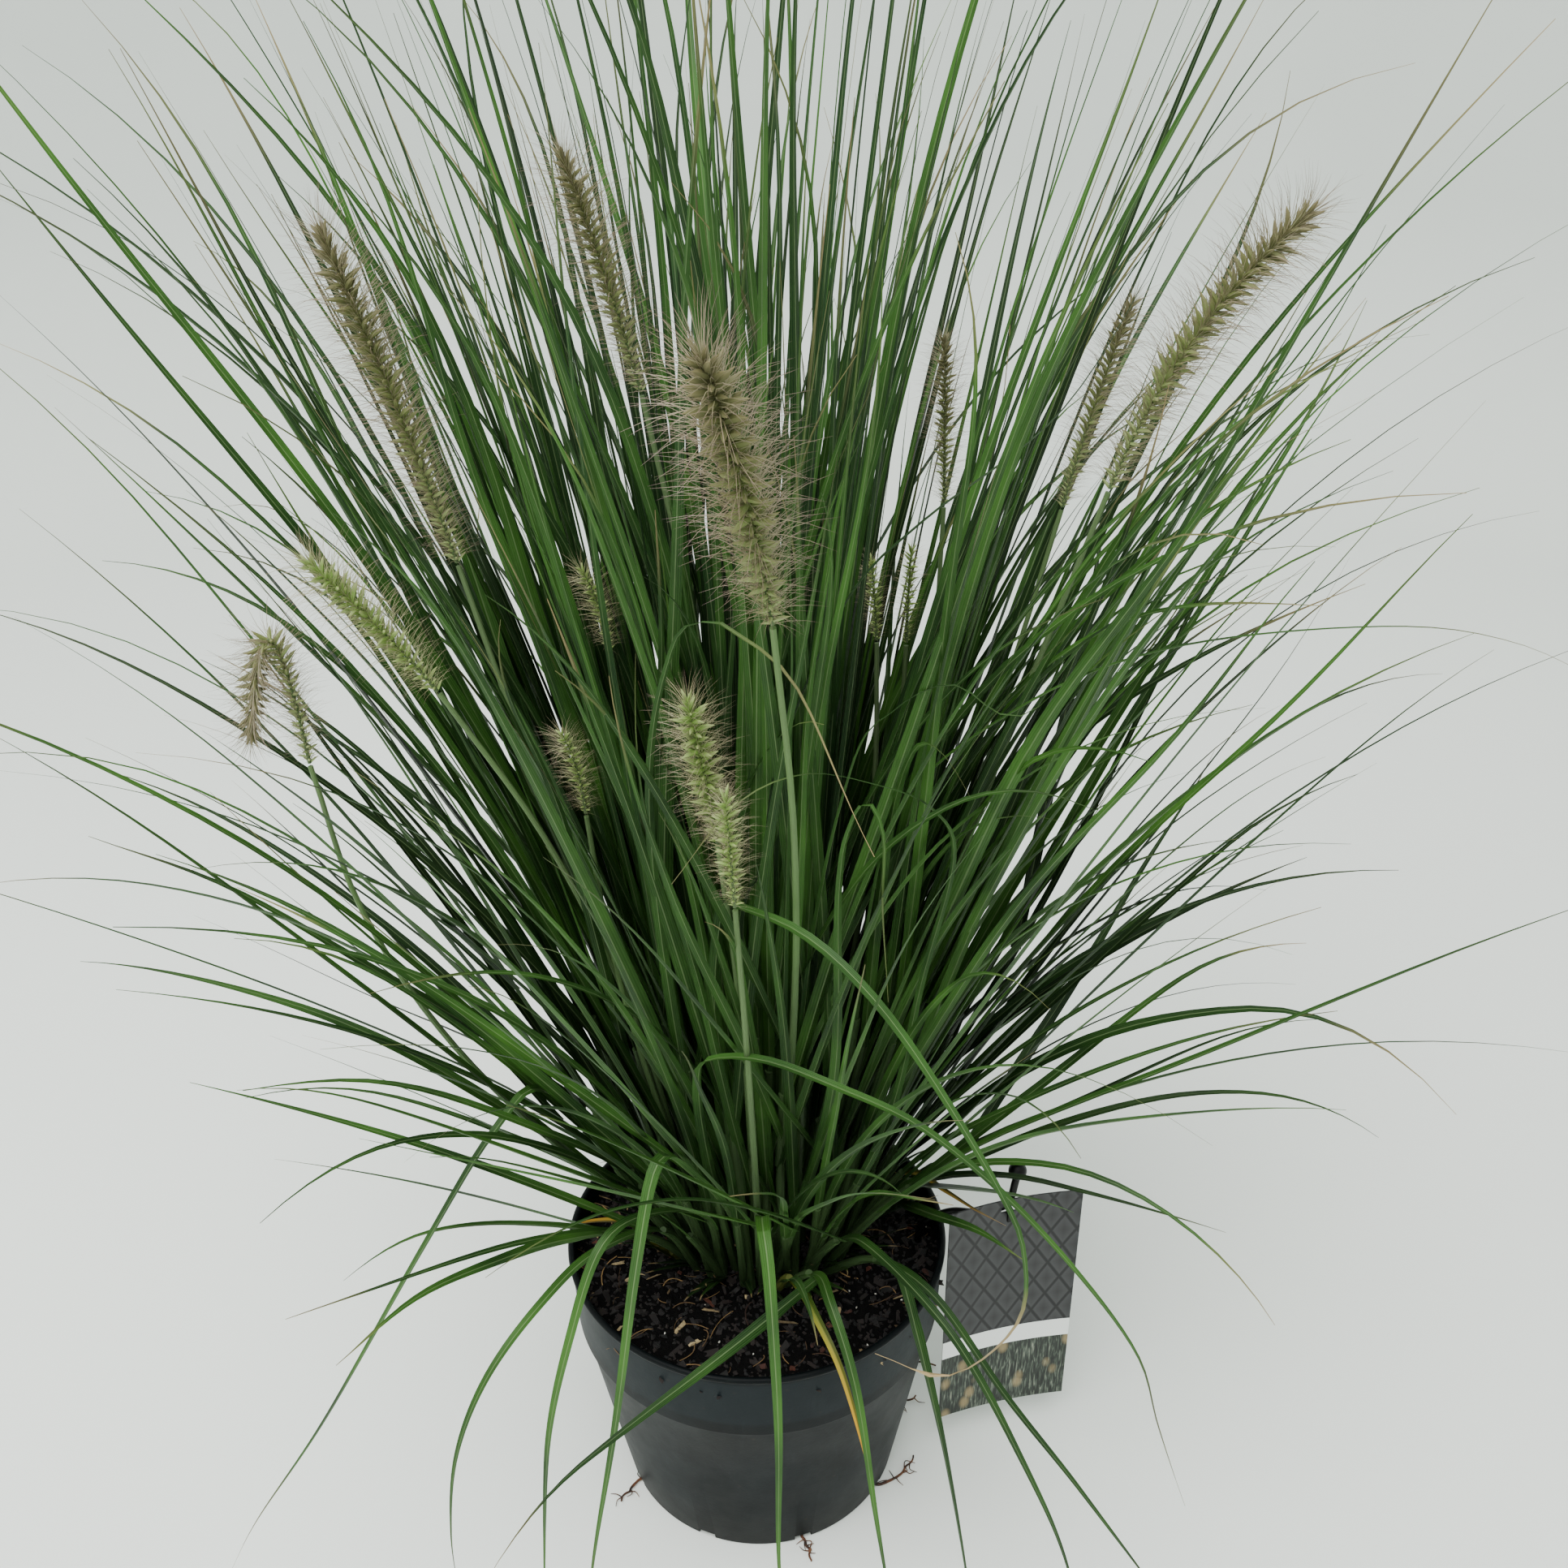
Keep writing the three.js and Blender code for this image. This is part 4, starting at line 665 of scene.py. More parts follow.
def printed_card():
    """Printed polypropylene film, satin: a charcoal diamond quilt above, a plain white band, and
    a dim streaky picture of pale tufts among dark blades below. The back is plain white."""
    material, tree, shader = new_material("printed polypropylene film", IOR=1.49, Metallic=0.0,
                                          Specular_IOR_Level=0.3)
    place = add(tree, "ShaderNodeTexCoord").outputs["Object"]
    flat = add(tree, "ShaderNodeMapping", {
        "Vector": place, "Location": (CARD_X * MM, CARD_Y * MM, (CARD_TOP - CARD_HEIGHT) * MM),
        "Rotation": (0.0, 0.0, math.radians(CARD_TURN)), "Scale": (MM, MM, MM)},
        vector_type="TEXTURE")
    spot = add(tree, "ShaderNodeSeparateXYZ", {0: flat.outputs[0]})
    u, z = spot.outputs["X"], spot.outputs["Z"]
    stitched = []
    for lean in (0.62, -0.62):
        slant = add(tree, "ShaderNodeMath", {0: z, 1: lean, 2: u}, operation="MULTIPLY_ADD")
        wave = add(tree, "ShaderNodeMath", {0: slant.outputs[0], 1: QUILT}, operation="PINGPONG")
        stitched.append(wave.outputs[0])
    seam = add(tree, "ShaderNodeMath", {0: stitched[0], 1: stitched[1]}, operation="MINIMUM")
    far = add(tree, "ShaderNodeMath", {0: stitched[0], 1: stitched[1]}, operation="MAXIMUM")
    away = add(tree, "ShaderNodeMath", {0: QUILT, 1: far.outputs[0]}, operation="SUBTRACT")
    near = add(tree, "ShaderNodeMath", {0: seam.outputs[0], 1: away.outputs[0]},
               operation="MINIMUM")
    quilt = add(tree, "ShaderNodeValToRGB", {
        0: add(tree, "ShaderNodeMath", {0: near.outputs[0], 1: QUILT / 2},
               operation="DIVIDE").outputs[0]},
        stops=[(0.0, "#0a0a0b"), (0.1, "#131314"), (0.2, "#333335"), (1.0, "#202021")])
    blades = add(tree, "ShaderNodeMapping", {"Vector": flat.outputs[0], "Rotation":
                 (0.0, math.radians(18), 0.0), "Scale": (0.95, 0.1, 0.12)})
    streak = add(tree, "ShaderNodeTexNoise", {"Vector": blades.outputs[0], "Scale": 1.0,
                                              "Detail": 4.0, "Distortion": 0.6})
    meadow = add(tree, "ShaderNodeValToRGB", {0: streak.outputs["Fac"]},
                 stops=[(0.36, "#0f120f"), (0.5, "#232923"), (0.6, "#485046"), (0.72, "#7c8172")])
    tufts = add(tree, "ShaderNodeMapping", {"Vector": flat.outputs[0], "Scale":
                (0.085, 0.1, 0.055), "Rotation": (0.0, math.radians(-12), 0.0)})
    cells = add(tree, "ShaderNodeTexVoronoi", {"Vector": tufts.outputs[0], "Scale": 1.0})
    tuft = add(tree, "ShaderNodeMapRange", {"Value": cells.outputs["Distance"], "From Min": 0.12,
                                            "From Max": 0.3, "To Min": 0.75, "To Max": 0.0})
    picture = coats(tree, meadow.outputs["Color"], [(tuft.outputs[0], "#8d7c58")])
    in_picture = add(tree, "ShaderNodeMath", {0: z, 1: BAND_FOOT}, operation="LESS_THAN")
    in_band = add(tree, "ShaderNodeMath", {0: z, 1: BAND_TOP}, operation="LESS_THAN")
    normal = add(tree, "ShaderNodeSeparateXYZ", {
        0: add(tree, "ShaderNodeTexCoord").outputs["Normal"]})
    faces_back = add(tree, "ShaderNodeMath", {0: normal.outputs["Y"], 1: 0.5},
                     operation="GREATER_THAN")
    printed = coats(tree, quilt.outputs["Color"], [
        (in_band.outputs[0], "#dcdedc"), (in_picture.outputs[0], picture),
        (faces_back.outputs[0], "#c9cbc9")])
    wear = add(tree, "ShaderNodeTexNoise", {"Vector": place, "Scale": 90.0, "Detail": 5.0})
    rough = add(tree, "ShaderNodeMapRange", {"Value": wear.outputs["Fac"], "To Min": 0.3,
                                             "To Max": 0.55})
    wire(tree, shader, Base_Color=printed, Roughness=rough.outputs[0])
    return material


card = card_sheet()
cut(card, add_piece("card slot", *block(
    card_spot(SLOT_U, -CARD_BOW, SLOT_Z), (SLOT_WIDTH, 4 * CARD_BOW, SLOT_HEIGHT), CARD_TURN)))
card.data.materials.append(printed_card())
fit(card, "label_card", "label_card")

# Drain roots: five wiry brown roots that grew out through the slots and lie on the ground, with
# finer side roots.
ROOT_HEIGHT = 1.25
ROOT_STEPS = 30
SIDE_ROOTS = 7
DRAIN_ROOTS = {
    "drain_root_left": [[-57, -30], [-65, -34], [-70, -41], [-74, -46]],
    "drain_root_front": [[19.5, -62], [22, -70], [25, -76], [25, -82]],
    "drain_root_right_front": [[55, -35], [63, -38], [74, -32], [82, -21]],
    "drain_root_right": [[64, 8.6], [73, 10], [80, 15], [87, 18]],
    "drain_root_right_back": [[44, 48], [51, 55], [72, 48], [100, 39]],
}


def draws(seed):
    """A seeded stream of numbers from 0 to 1."""
    state = (seed * 7919 + 104729) % 2147483647

    def draw():
        nonlocal state
        state = state * 16807 % 2147483647
        return state / 2147483647

    return draw


def root_bark():
    """Dry root: reddish brown with dark, crumbly patches of soil stuck to it."""
    material, tree, shader = new_material("dry root bark", Roughness=0.85, Metallic=0.0)
    place = add(tree, "ShaderNodeTexCoord").outputs["Object"]
    crust = add(tree, "ShaderNodeTexNoise", {"Vector": place, "Scale": 260.0, "Detail": 5.0})
    colour = add(tree, "ShaderNodeValToRGB", {"Fac": crust.outputs["Fac"]},
                 stops=[(0.35, "#1a100b"), (0.55, "#54301b"), (0.8, "#8f6a45")])
    relief = add(tree, "ShaderNodeBump", {"Height": crust.outputs["Fac"], "Strength": 0.7,
                                          "Distance": 0.6 * MM})
    wire(tree, shader, Base_Color=colour.outputs["Color"], Normal=relief.outputs["Normal"])
    return material


def root_lines(route, seed):
    """One root and its side roots, each a little wavy and thinning towards its end."""
    draw = draws(seed)
    main, length = route_line([[x, y, ROOT_HEIGHT] for x, y in route], ROOT_STEPS)
    share = np.arange(ROOT_STEPS + 1) / ROOT_STEPS
    wave = np.stack([np.sin(share * 23 + seed), np.cos(share * 19 + seed), 0 * share], axis=1)
    main = main + 0.7 * wave * share[:, None]
    lines = [{"points": main, "width": mix(1.8, 0.9, share) * MM}]
    for _ in range(SIDE_ROOTS):
        start = main[int(ROOT_STEPS * (0.3 + 0.65 * draw()))]
        turn = 2 * math.pi * draw()
        reach = 4 + 0.12 * length * draw()
        bend = reach * (draw() - 0.5)
        out = np.array([math.cos(turn), math.sin(turn), 0])
        aside = np.array([-out[1], out[0], 0])
        end = start + reach * out
        end[2] = 0.4
        middle = (start + end) / 2 + bend * aside + [0, 0, 0.6]
        twig, _ = route_line([start, middle, end], 10)
        lines.append({"points": twig, "width": np.linspace(0.7, 0.3, 11) * MM})
    return lines


bark = root_bark()
for number, (name, route) in enumerate(DRAIN_ROOTS.items()):
    root = lines_piece(name.replace("drain", "wiry"), root_lines(route, 60 + number))
    grow(root, stem_shape, Sides=8, Material=bark)
    fit(root, "dry_root", name)

# Grass clump: one plant of fountain grass. Shoots stand close together in the crown, each with
# a pale sheath at its foot and long arching keeled blades. It is grouped in ten leaf bunches.
STEPS = 24
SHEATH_WIDTH = 5.4
CULM_WIDTH = 2.6
REACH = 345
FRONT_REACH = -225
TALLEST = 820
ROOT_Z = 131
ROOT_MARGIN = 3.3
GOLDEN_ANGLE = 137.508
FIRST_EDGE = 234
BUNCHES = [
    ("leaf_bunch_front", 234, 306), ("leaf_bunch_front_right", 306, 338),
    ("leaf_bunch_right", 338, 370), ("leaf_bunch_right_back", 370, 402),
    ("leaf_bunch_back_right", 402, 434), ("leaf_bunch_back", 434, 466),
    ("leaf_bunch_back_left", 466, 498), ("leaf_bunch_left_back", 498, 530),
    ("leaf_bunch_left", 530, 562), ("leaf_bunch_front_left", 562, 594),
]
# Flower heads: foot, bend and tip of the head, radius of its spikelets and of its bristles, then
# root distance and angle of its stem.
HEADS = [
    ("flower_head_left_tall", [-104, -38, 520], [-116, -42, 578], [-133, -49, 637],
     6.8, 17, 30, 195),
    ("flower_head_top", [-35, -13, 576], [-44, -16, 618], [-56, -21, 657], 6, 16, 16, 215),
    ("flower_head_centre", [13, -153, 543], [8, -172, 590], [-3, -195, 631], 8, 19, 26, 274),
    ("flower_head_right_tall", [138, -24, 541], [156, -27, 600], [193, -34, 638], 7.4, 18, 34, 346),
    ("flower_head_right_inner", [134, 46, 510], [144, 50, 552], [157, 55, 591], 5.4, 13, 30, 24),
    ("flower_head_back_right", [91, 109, 490], [90, 108, 528], [88, 105, 565], 5, 12, 33, 50),
    ("flower_head_left_young", [-112, -60, 478], [-128, -64, 506], [-148, -69, 531],
     6.6, 16, 40, 212),
    ("flower_head_left_nodding", [-168, -48, 442], [-171, -49, 540], [-187, -52, 456],
     6, 15, 46, 186),
    ("flower_head_small_upper", [-52, -20, 476], [-54, -21, 498], [-60, -23, 510], 4, 10, 20, 190),
    ("flower_head_small_left", [-63, -44, 416], [-64, -45, 440], [-69, -48, 453], 4, 10, 30, 225),
    ("flower_head_front_dense", [-9, -86, 427], [-12, -92, 460], [-17, -97, 489], 7, 14, 32, 262),
    ("flower_head_front_small", [-2, -116, 418], [-3, -118, 441], [-4, -119, 464], 5, 10, 42, 268),
    ("flower_head_small_right", [57, 42, 452], [56, 42, 470], [54, 41, 488], 3.8, 8, 18, 38),
    ("flower_head_small_back", [72, 66, 440], [72, 66, 462], [73, 67, 484], 3.8, 8, 40, 46),
]
# Front blades: root distance and angle, width, then points along the blade.
FRONT_BLADES = [
    ("yellow_over_rim", 47, 214, 5.4, [[-50, -20, 158], [-62, -16, 168], [-80, -12, 166],
     [-102, -10, 158]]),
    ("to_upper_right", 30, 262, 5.2, [[-5, -70, 370], [5, -85, 420], [12, -95, 470],
     [35, -100, 530], [60, -95, 555], [105, -80, 585], [135, -60, 625], [158, -40, 668]]),
    ("crook", 35, 240, 5, [[-25, -50, 275], [-30, -95, 445], [-20, -115, 520], [-10, -124, 534],
     [0, -130, 530], [15, -140, 515], [25, -165, 475]]),
    ("arch_to_left", 40, 300, 3.4, [[58, -48, 250], [72, -58, 340], [80, -80, 415],
     [68, -96, 447], [45, -110, 465], [22, -120, 474], [0, -130, 468], [-22, -136, 440]]),
    ("wave", 25, 290, 4.6, [[25, -60, 350], [40, -90, 460], [55, -96, 487], [75, -95, 498],
     [95, -90, 488], [110, -85, 491], [122, -80, 502]]),
    ("long_right", 25, 300, 4.2, [[45, -50, 340], [60, -60, 425], [100, -75, 475],
     [150, -85, 503], [220, -95, 515], [265, -98, 510], [305, -102, 492]]),
    ("hairpin", 35, 283, 5.2, [[35, -60, 285], [36, -85, 405], [40, -95, 440], [46, -101, 452],
     [52, -105, 440], [53, -111, 415], [58, -117, 380]]),
    ("over_rim_right", 20, 255, 5.6, [[-10, -50, 300], [-5, -75, 393], [5, -95, 407],
     [25, -110, 406], [45, -125, 394], [66, -137, 368], [95, -150, 318], [106, -155, 288],
     [105, -155, 250], [80, -152, 218], [50, -150, 228]]),
    ("low_arch_right", 38, 250, 5.2, [[-20, -60, 250], [-20, -90, 320], [-13, -98, 336],
     [8, -107, 342], [35, -120, 339], [65, -130, 328], [95, -140, 304], [125, -150, 272],
     [153, -155, 232], [164, -160, 200], [180, -162, 155]]),
    ("hang_left_broad", 40, 262, 6.2, [[-10, -40, 195], [-25, -75, 255], [-36, -104, 288],
     [-46, -124, 250], [-60, -140, 165], [-72, -147, 90], [-78, -150, 40]]),
    ("hang_left_outer", 42, 240, 5.4, [[-22, -45, 200], [-45, -80, 236], [-62, -104, 242],
     [-76, -120, 208], [-90, -128, 150], [-96, -132, 70], [-98, -134, 25]]),
    ("hang_middle", 45, 270, 5.6, [[5, -66, 215], [5, -92, 243], [8, -113, 228],
     [10, -128, 165], [10, -135, 80], [10, -138, 20]]),
    ("hang_right_inner", 45, 283, 4.8, [[28, -66, 185], [34, -98, 200], [44, -118, 172],
     [52, -129, 112], [60, -133, 60], [64, -135, 22]]),
    ("hang_right", 42, 296, 5, [[40, -50, 190], [55, -75, 207], [85, -120, 203],
     [115, -142, 150], [140, -152, 92], [152, -156, 45]]),
    ("hang_right_outer", 47, 303, 4.4, [[55, -48, 176], [80, -80, 186], [112, -110, 152],
     [146, -124, 108], [180, -130, 55], [192, -132, 25]]),
    ("short_yellowed", 47, 279, 4.4, [[15, -40, 155], [21, -62, 172], [28, -85, 177],
     [38, -104, 166], [48, -114, 132], [56, -118, 98]]),
    ("orange_to_card", 47, 352, 6, [[60, -2, 172], [76, -6, 190], [92, -17, 188],
     [105, -25, 184], [120, -31, 178]]),
    ("tall_left", 18, 238, 5, [[-30, -30, 300], [-44, -48, 450], [-50, -62, 600],
     [-48, -70, 700]]),
    ("tall_right", 22, 296, 5, [[26, -28, 300], [40, -40, 450], [56, -50, 600],
     [72, -60, 710]]),
]
LEFT_HANGING = [
    ("hang_far_left", 46, 214, 5, [[-66, -28, 215], [-92, -52, 285], [-110, -78, 284],
     [-140, -100, 240], [-190, -115, 152], [-228, -121, 92], [-245, -123, 58]]),
    ("hang_left_rim", 47, 228, 5, [[-44, -38, 185], [-70, -76, 210], [-90, -110, 214],
     [-110, -134, 198], [-124, -145, 165], [-131, -150, 122], [-133, -152, 84]]),
]
# Side blades: root distance and angle, azimuth, length, width, then the lean from upright at
# equal steps along the blade.
SIDE_BLADES = [
    [30, 158, 158, 650, 5.2, [20, 19, 18, 25, 41, 66]],
    [35, 150, 150, 650, 6, [31, 28, 23, 25, 22, 24]],
    [45, 165, 165, 600, 5, [18, 18, 21, 27, 40, 75]],
    [45, 175, 175, 550, 5, [17, 18, 21, 27, 43, 80]],
    [47, 187, 185, 540, 5, [20, 22, 24, 26, 31, 44]],
    [47, 192, 190, 500, 4.8, [16, 18, 25, 34, 52, 85]],
    [47, 198, 195, 500, 5, [20, 26, 33, 38, 46, 62]],
    [46, 204, 200, 470, 4.8, [18, 22, 28, 36, 50, 84]],
    [47, 200, 200, 410, 4.4, [10, 18, 32, 52, 66, 66]],
    [47, 207, 206, 370, 4, [13, 18, 32, 44, 56, 84]],
    [47, 190, 190, 300, 4.2, [16, 28, 52, 60, 54, 56]],
    [47, 197, 196, 260, 4.4, [20, 40, 66, 66, 74, 88]],
    [47, 215, 214, 250, 3.6, [24, 44, 62, 68, 70, 74]],
    [38, 30, 30, 600, 5, [22, 24, 31, 44, 66, 76]],
    [47, 10, 10, 560, 5, [30, 26, 24, 30, 44, 76]],
    [45, 5, 5, 500, 4.4, [23, 23, 25, 32, 56, 74]],
    [45, 15, 15, 500, 4.2, [34, 30, 25, 22, 24, 40]],
    [47, 0, 0, 420, 4.4, [26, 29, 31, 31, 29, 18]],
    [47, 352, 350, 380, 4, [22, 24, 28, 33, 46, 56]],
    [47, 346, 345, 400, 4.4, [20, 30, 42, 44, 42, 44]],
    [47, 341, 340, 340, 4, [16, 19, 28, 38, 52, 78]],
    [47, 338, 338, 330, 3.8, [18, 28, 42, 46, 50, 60]],
    [47, 346, 345, 280, 4, [24, 42, 53, 50, 50, 58]],
    [47, 336, 335, 265, 3.6, [20, 26, 44, 58, 62, 56]],
    [47, 333, 335, 290, 4, [20, 30, 50, 70, 108, 142]],
    [47, 344, 346, 210, 4.6, [22, 40, 74, 96, 98, 96]],
]
NUDGES = [0, 3, -3, 6, -6, 9, -9, 13, -13, 18, -18, 24, -24]
FILL_SHOOTS = 39
EDGE_SHOOTS = 15
STUBS = 18
FIXED = -2
OVER_GROUND = 6
OVER_RIM = 3
OVER_SOIL = 4
INSIDE_RIM_R = 84
BESIDE_RIM = 4
BESIDE_CARD = 4
BEFORE_CARD = 5
VIEWED_FROM = (16, -587, 728)
VIEW_DEPTH = 240
# Seeds of each kind of blade: those that the solids share, then the finer ones.
FILL_SEED, FINE_FILL_SEED = 400, 5000
EDGE_SEED, FINE_EDGE_SEED = 6000, 8000
LEAF_SEED, FINE_LEAF_SEED = 1000, 7000
STUB_SEED, FINE_STUB_SEED = 3000, 9000
SIDE_SEED, SWAY_SEED = 200, 20000


def unit(vectors):
    return vectors / np.linalg.norm(vectors, axis=-1, keepdims=True)


def lean_line(root, azimuths, leans, length, twist=0):
    """A line that leaves a root and leans away from upright step by step."""
    def spread(values, at):
        return np.radians(np.interp(at * (len(values) - 1), range(len(values)), values))

    share = np.arange(STEPS + 1) / STEPS
    turn, tilt = spread(azimuths, share), spread(leans, share)
    roll = math.radians(twist) * np.sqrt(share)
    face = np.stack([-np.cos(tilt) * np.cos(turn), -np.cos(tilt) * np.sin(turn), np.sin(tilt)], 1)
    aside = np.stack([-np.sin(turn), np.cos(turn), 0 * turn], 1)
    across = face * np.sin(roll)[:, None] + aside * np.cos(roll)[:, None]
    middle = (np.arange(STEPS) + 0.5) / STEPS
    turn, tilt = spread(azimuths, middle), spread(leans, middle)
    step = np.stack([np.sin(tilt) * np.cos(turn), np.sin(tilt) * np.sin(turn), np.cos(tilt)], 1)
    points = np.vstack([root, root + np.cumsum(step * length / STEPS, axis=0)])
    return {"points": points, "across": across}


def along_of(points):
    """The direction of a line at each of its points."""
    first, last = points[1] - points[0], points[-1] - points[-2]
    return unit(np.vstack([first, points[2:] - points[:-2], last]))


def routed(route, steps=STEPS):
    """A line through chosen points, with the direction across it at each point."""
    points, _ = route_line(route, steps)
    start, end = np.array(route[0], float), np.array(route[-1], float)
    side = unit(np.array([start[1] - end[1], end[0] - start[0], 0]))
    along = along_of(points)
    return {"points": points, "across": unit(side - along * (along @ side)[:, None])}


def seat(distance, angle):
    """The root of a shoot in the crown, kept inside its bunch, and that bunch's number."""
    turn = (angle - FIRST_EDGE) % 360 + FIRST_EDGE
    bunch = next(i for i, (_, start, end) in enumerate(BUNCHES) if start <= turn < end)
    inset = math.degrees(math.asin(ROOT_MARGIN / distance))
    _, start, end = BUNCHES[bunch]
    a = math.radians(min(max(turn, start + inset), end - inset))
    x, y = CROWN_X + distance * math.cos(a), CROWN_Y + distance * math.sin(a)
    return np.array([x, y, ROOT_Z]), bunch


def blade_width(t):
    return np.minimum(1, 0.3 + 4 * t) * (1 - t**1.9)


def chords_of(blade):
    """The straight stretches that stand for a blade: their ends and half widths."""
    points, stride = blade["points"], blade["stride"]
    t = np.arange(0, STEPS + 1, stride) / STEPS
    if blade.get("round"):
        half = mix(blade["foot_width"], blade["width"], t) / 2
    else:
        half = np.where(t < blade["sheath"], SHEATH_WIDTH / 2, blade["width"] * blade_width(t) / 2)
    ends = points[::stride]
    return ends[:-1], ends[1:], np.maximum(half[:-1], half[1:])


class Standing:
    """What stands in the way so far: straight chords with half widths, bunches and owners."""
    def __init__(self):
        self.p, self.q = np.zeros((0, 3)), np.zeros((0, 3))
        self.half, self.bunch, self.owner = np.zeros(0), np.zeros(0, int), np.zeros(0, int)

    def put(self, p, q, half, bunch, owner):
        count = len(p)
        self.p, self.q = np.vstack([self.p, p]), np.vstack([self.q, q])
        self.half = np.append(self.half, np.broadcast_to(half, count))
        self.bunch = np.append(self.bunch, np.full(count, bunch))
        self.owner = np.append(self.owner, np.full(count, owner))

    def meets(self, p, q, half, bunch, parent, fixed_only):
        """True where a blade would cross its own bunch or come too near to anything else."""
        keep = self.owner == FIXED if fixed_only else np.ones(len(self.p), bool)
        r = p[:, None] - self.p[keep][None]
        d1, d2 = (q - p)[:, None], (self.q - self.p)[keep][None]
        aa, ee, bb = (d1 * d1).sum(-1), (d2 * d2).sum(-1), (d1 * d2).sum(-1)
        c, f = (d1 * r).sum(-1), (d2 * r).sum(-1)
        bottom = aa * ee - bb * bb
        flat = bottom <= 1e-6
        s = np.where(flat, 0, np.clip((bb * f - c * ee) / np.where(flat, 1, bottom), 0, 1))
        t = (bb * s + f) / ee
        beyond = np.where(t > 1, np.clip((bb - c) / aa, 0, 1), s)
        s = np.where(t < 0, np.clip(-c / aa, 0, 1), beyond)
        t = np.clip(t, 0, 1)
        gap = np.linalg.norm(r + d1 * s[..., None] - d2 * t[..., None], axis=-1)
        reach = half[:, None] + self.half[keep][None] + CLEAR
        close = gap < np.where(self.bunch[keep] == bunch, reach / 2, reach)
        close[0] &= self.owner[keep] != parent
        return close.any()


standing = Standing()
shoots = []


def has_room(p, q):
    """True where no point of a blade enters the pot, the soil, the card or the ground."""
    share = np.linspace(0, 1, 5)[None, :, None]
    s = p[:, None] * (1 - share) + q[:, None] * share
    x, y, z = s[..., 0], s[..., 1], s[..., 2]
    r, from_crown = np.hypot(x, y), np.hypot(x - CROWN_X, y - CROWN_Y)
    away = (z < OVER_GROUND) | (r > REACH) | (y < FRONT_REACH) | (z > TALLEST)
    inside = r <= INSIDE_RIM_R
    rim = (z < POT_HEIGHT + OVER_RIM) & ~inside & (r < POT_RIM_R + BESIDE_RIM)
    in_soil = (z < SOIL_TOP + OVER_SOIL) & inside & (from_crown > CROWN_R - 1)
    in_soil[0] = False
    turn = math.radians(CARD_TURN)
    u = (x - CARD_X) * math.cos(turn) + (y - CARD_Y) * math.sin(turn)
    n = (x - CARD_X) * math.sin(turn) - (y - CARD_Y) * math.cos(turn)
    at_card = abs(u) < CARD_WIDTH / 2 + BESIDE_CARD
    at_card &= (n > -CARD_BOW - BEFORE_CARD) & (n < BEFORE_CARD)
    at_card &= (z > CARD_TOP - CARD_HEIGHT - BESIDE_CARD) & (z < CARD_TOP + BESIDE_CARD)
    return not (away | rim | in_soil | at_card).any()


def rises_inside(p, q, bunch):
    """True where a blade comes out of the crown inside its own bunch's sector."""
    if p[2] > CROWN_TOP:
        return True
    share = min(max((CROWN_TOP + 1 - p[2]) / (q[2] - p[2]), 0), 1)
    x, y, _ = p + (q - p) * share - [CROWN_X, CROWN_Y, 0]
    _, start, end = BUNCHES[bunch]
    start, end = math.radians(start), math.radians(end)
    from_first = y * math.cos(start) - x * math.sin(start)
    from_second = x * math.sin(end) - y * math.cos(end)
    return min(from_first, from_second) > ROOT_MARGIN - 0.4


def plant(tries, attempt, extra=False):
    """Plants the first attempt that stands clear. An extra blade only keeps clear of the pot,
    the label and the flower heads, and nothing else makes way for it."""
    for k in range(tries):
        blade = attempt(k)
        p, q, half = chords_of(blade)
        if not has_room(p, q) or not rises_inside(p[0], q[0], blade["bunch"]):
            continue
        if standing.meets(p, q, half, blade["bunch"], blade["parent"], extra):
            continue
        blade["id"] = len(shoots) if not extra else -1
        if not extra:
            standing.put(p, q, half, blade["bunch"], blade["id"])
        shoots.append(blade)
        return


def head_line(foot, bend, tip, t):
    foot, bend, tip = (np.array(v, float) for v in (foot, bend, tip))
    t = np.asarray(t, float)[..., None]
    return foot * (1 - t) ** 2 + 2 * bend * t * (1 - t) + tip * t**2


def plant_culm(name, foot, bend, tip, core, spread, distance, angle):
    """The round stem that carries a flower head, from its root up to the head's foot."""
    root, bunch = seat(distance, angle)
    along = unit(np.array(bend, float) - foot)
    top = foot + along * (-1.2 - CLEAR)
    reach_down = top - along * 0.4 * np.linalg.norm(root - top)
    line = routed(head_line(root, reach_down, top, np.arange(5) / 4))
    culm = {**line, "bunch": bunch, "parent": -1, "stride": 4, "round": True, "leaves": 1,
            "foot_width": SHEATH_WIDTH * 0.85, "width": CULM_WIDTH, "sheath": 0.6,
            "id": len(shoots)}
    p, q, half = chords_of(culm)
    standing.put(p, q, half, bunch, culm["id"])
    shoots.append(culm)
    ends = head_line(foot, bend, tip, np.arange(6) / 5)
    standing.put(ends[:-1], ends[1:], spread * 0.72 + 1.5, -1, FIXED)


def plant_route(name, distance, angle, width, route):
    def attempt(k):
        root, bunch = seat(distance, angle + NUDGES[k])
        slide = NUDGES[k] * 0.5
        share = 1 - np.arange(len(route)) / len(route)
        moved = np.array(route, float)
        moved[:, 0] += slide * share
        moved[:, 2] -= abs(slide) * share
        whole = np.vstack([root, moved])
        return {**routed(whole), "bunch": bunch, "parent": -1, "width": width, "sheath": 0.2,
                "foot_width": SHEATH_WIDTH, "leaves": 1, "stride": 2 if len(route) > 6 else 3,
                "fine": routed(whole, STEPS * 3), "name": name}

    plant(len(NUDGES), attempt)


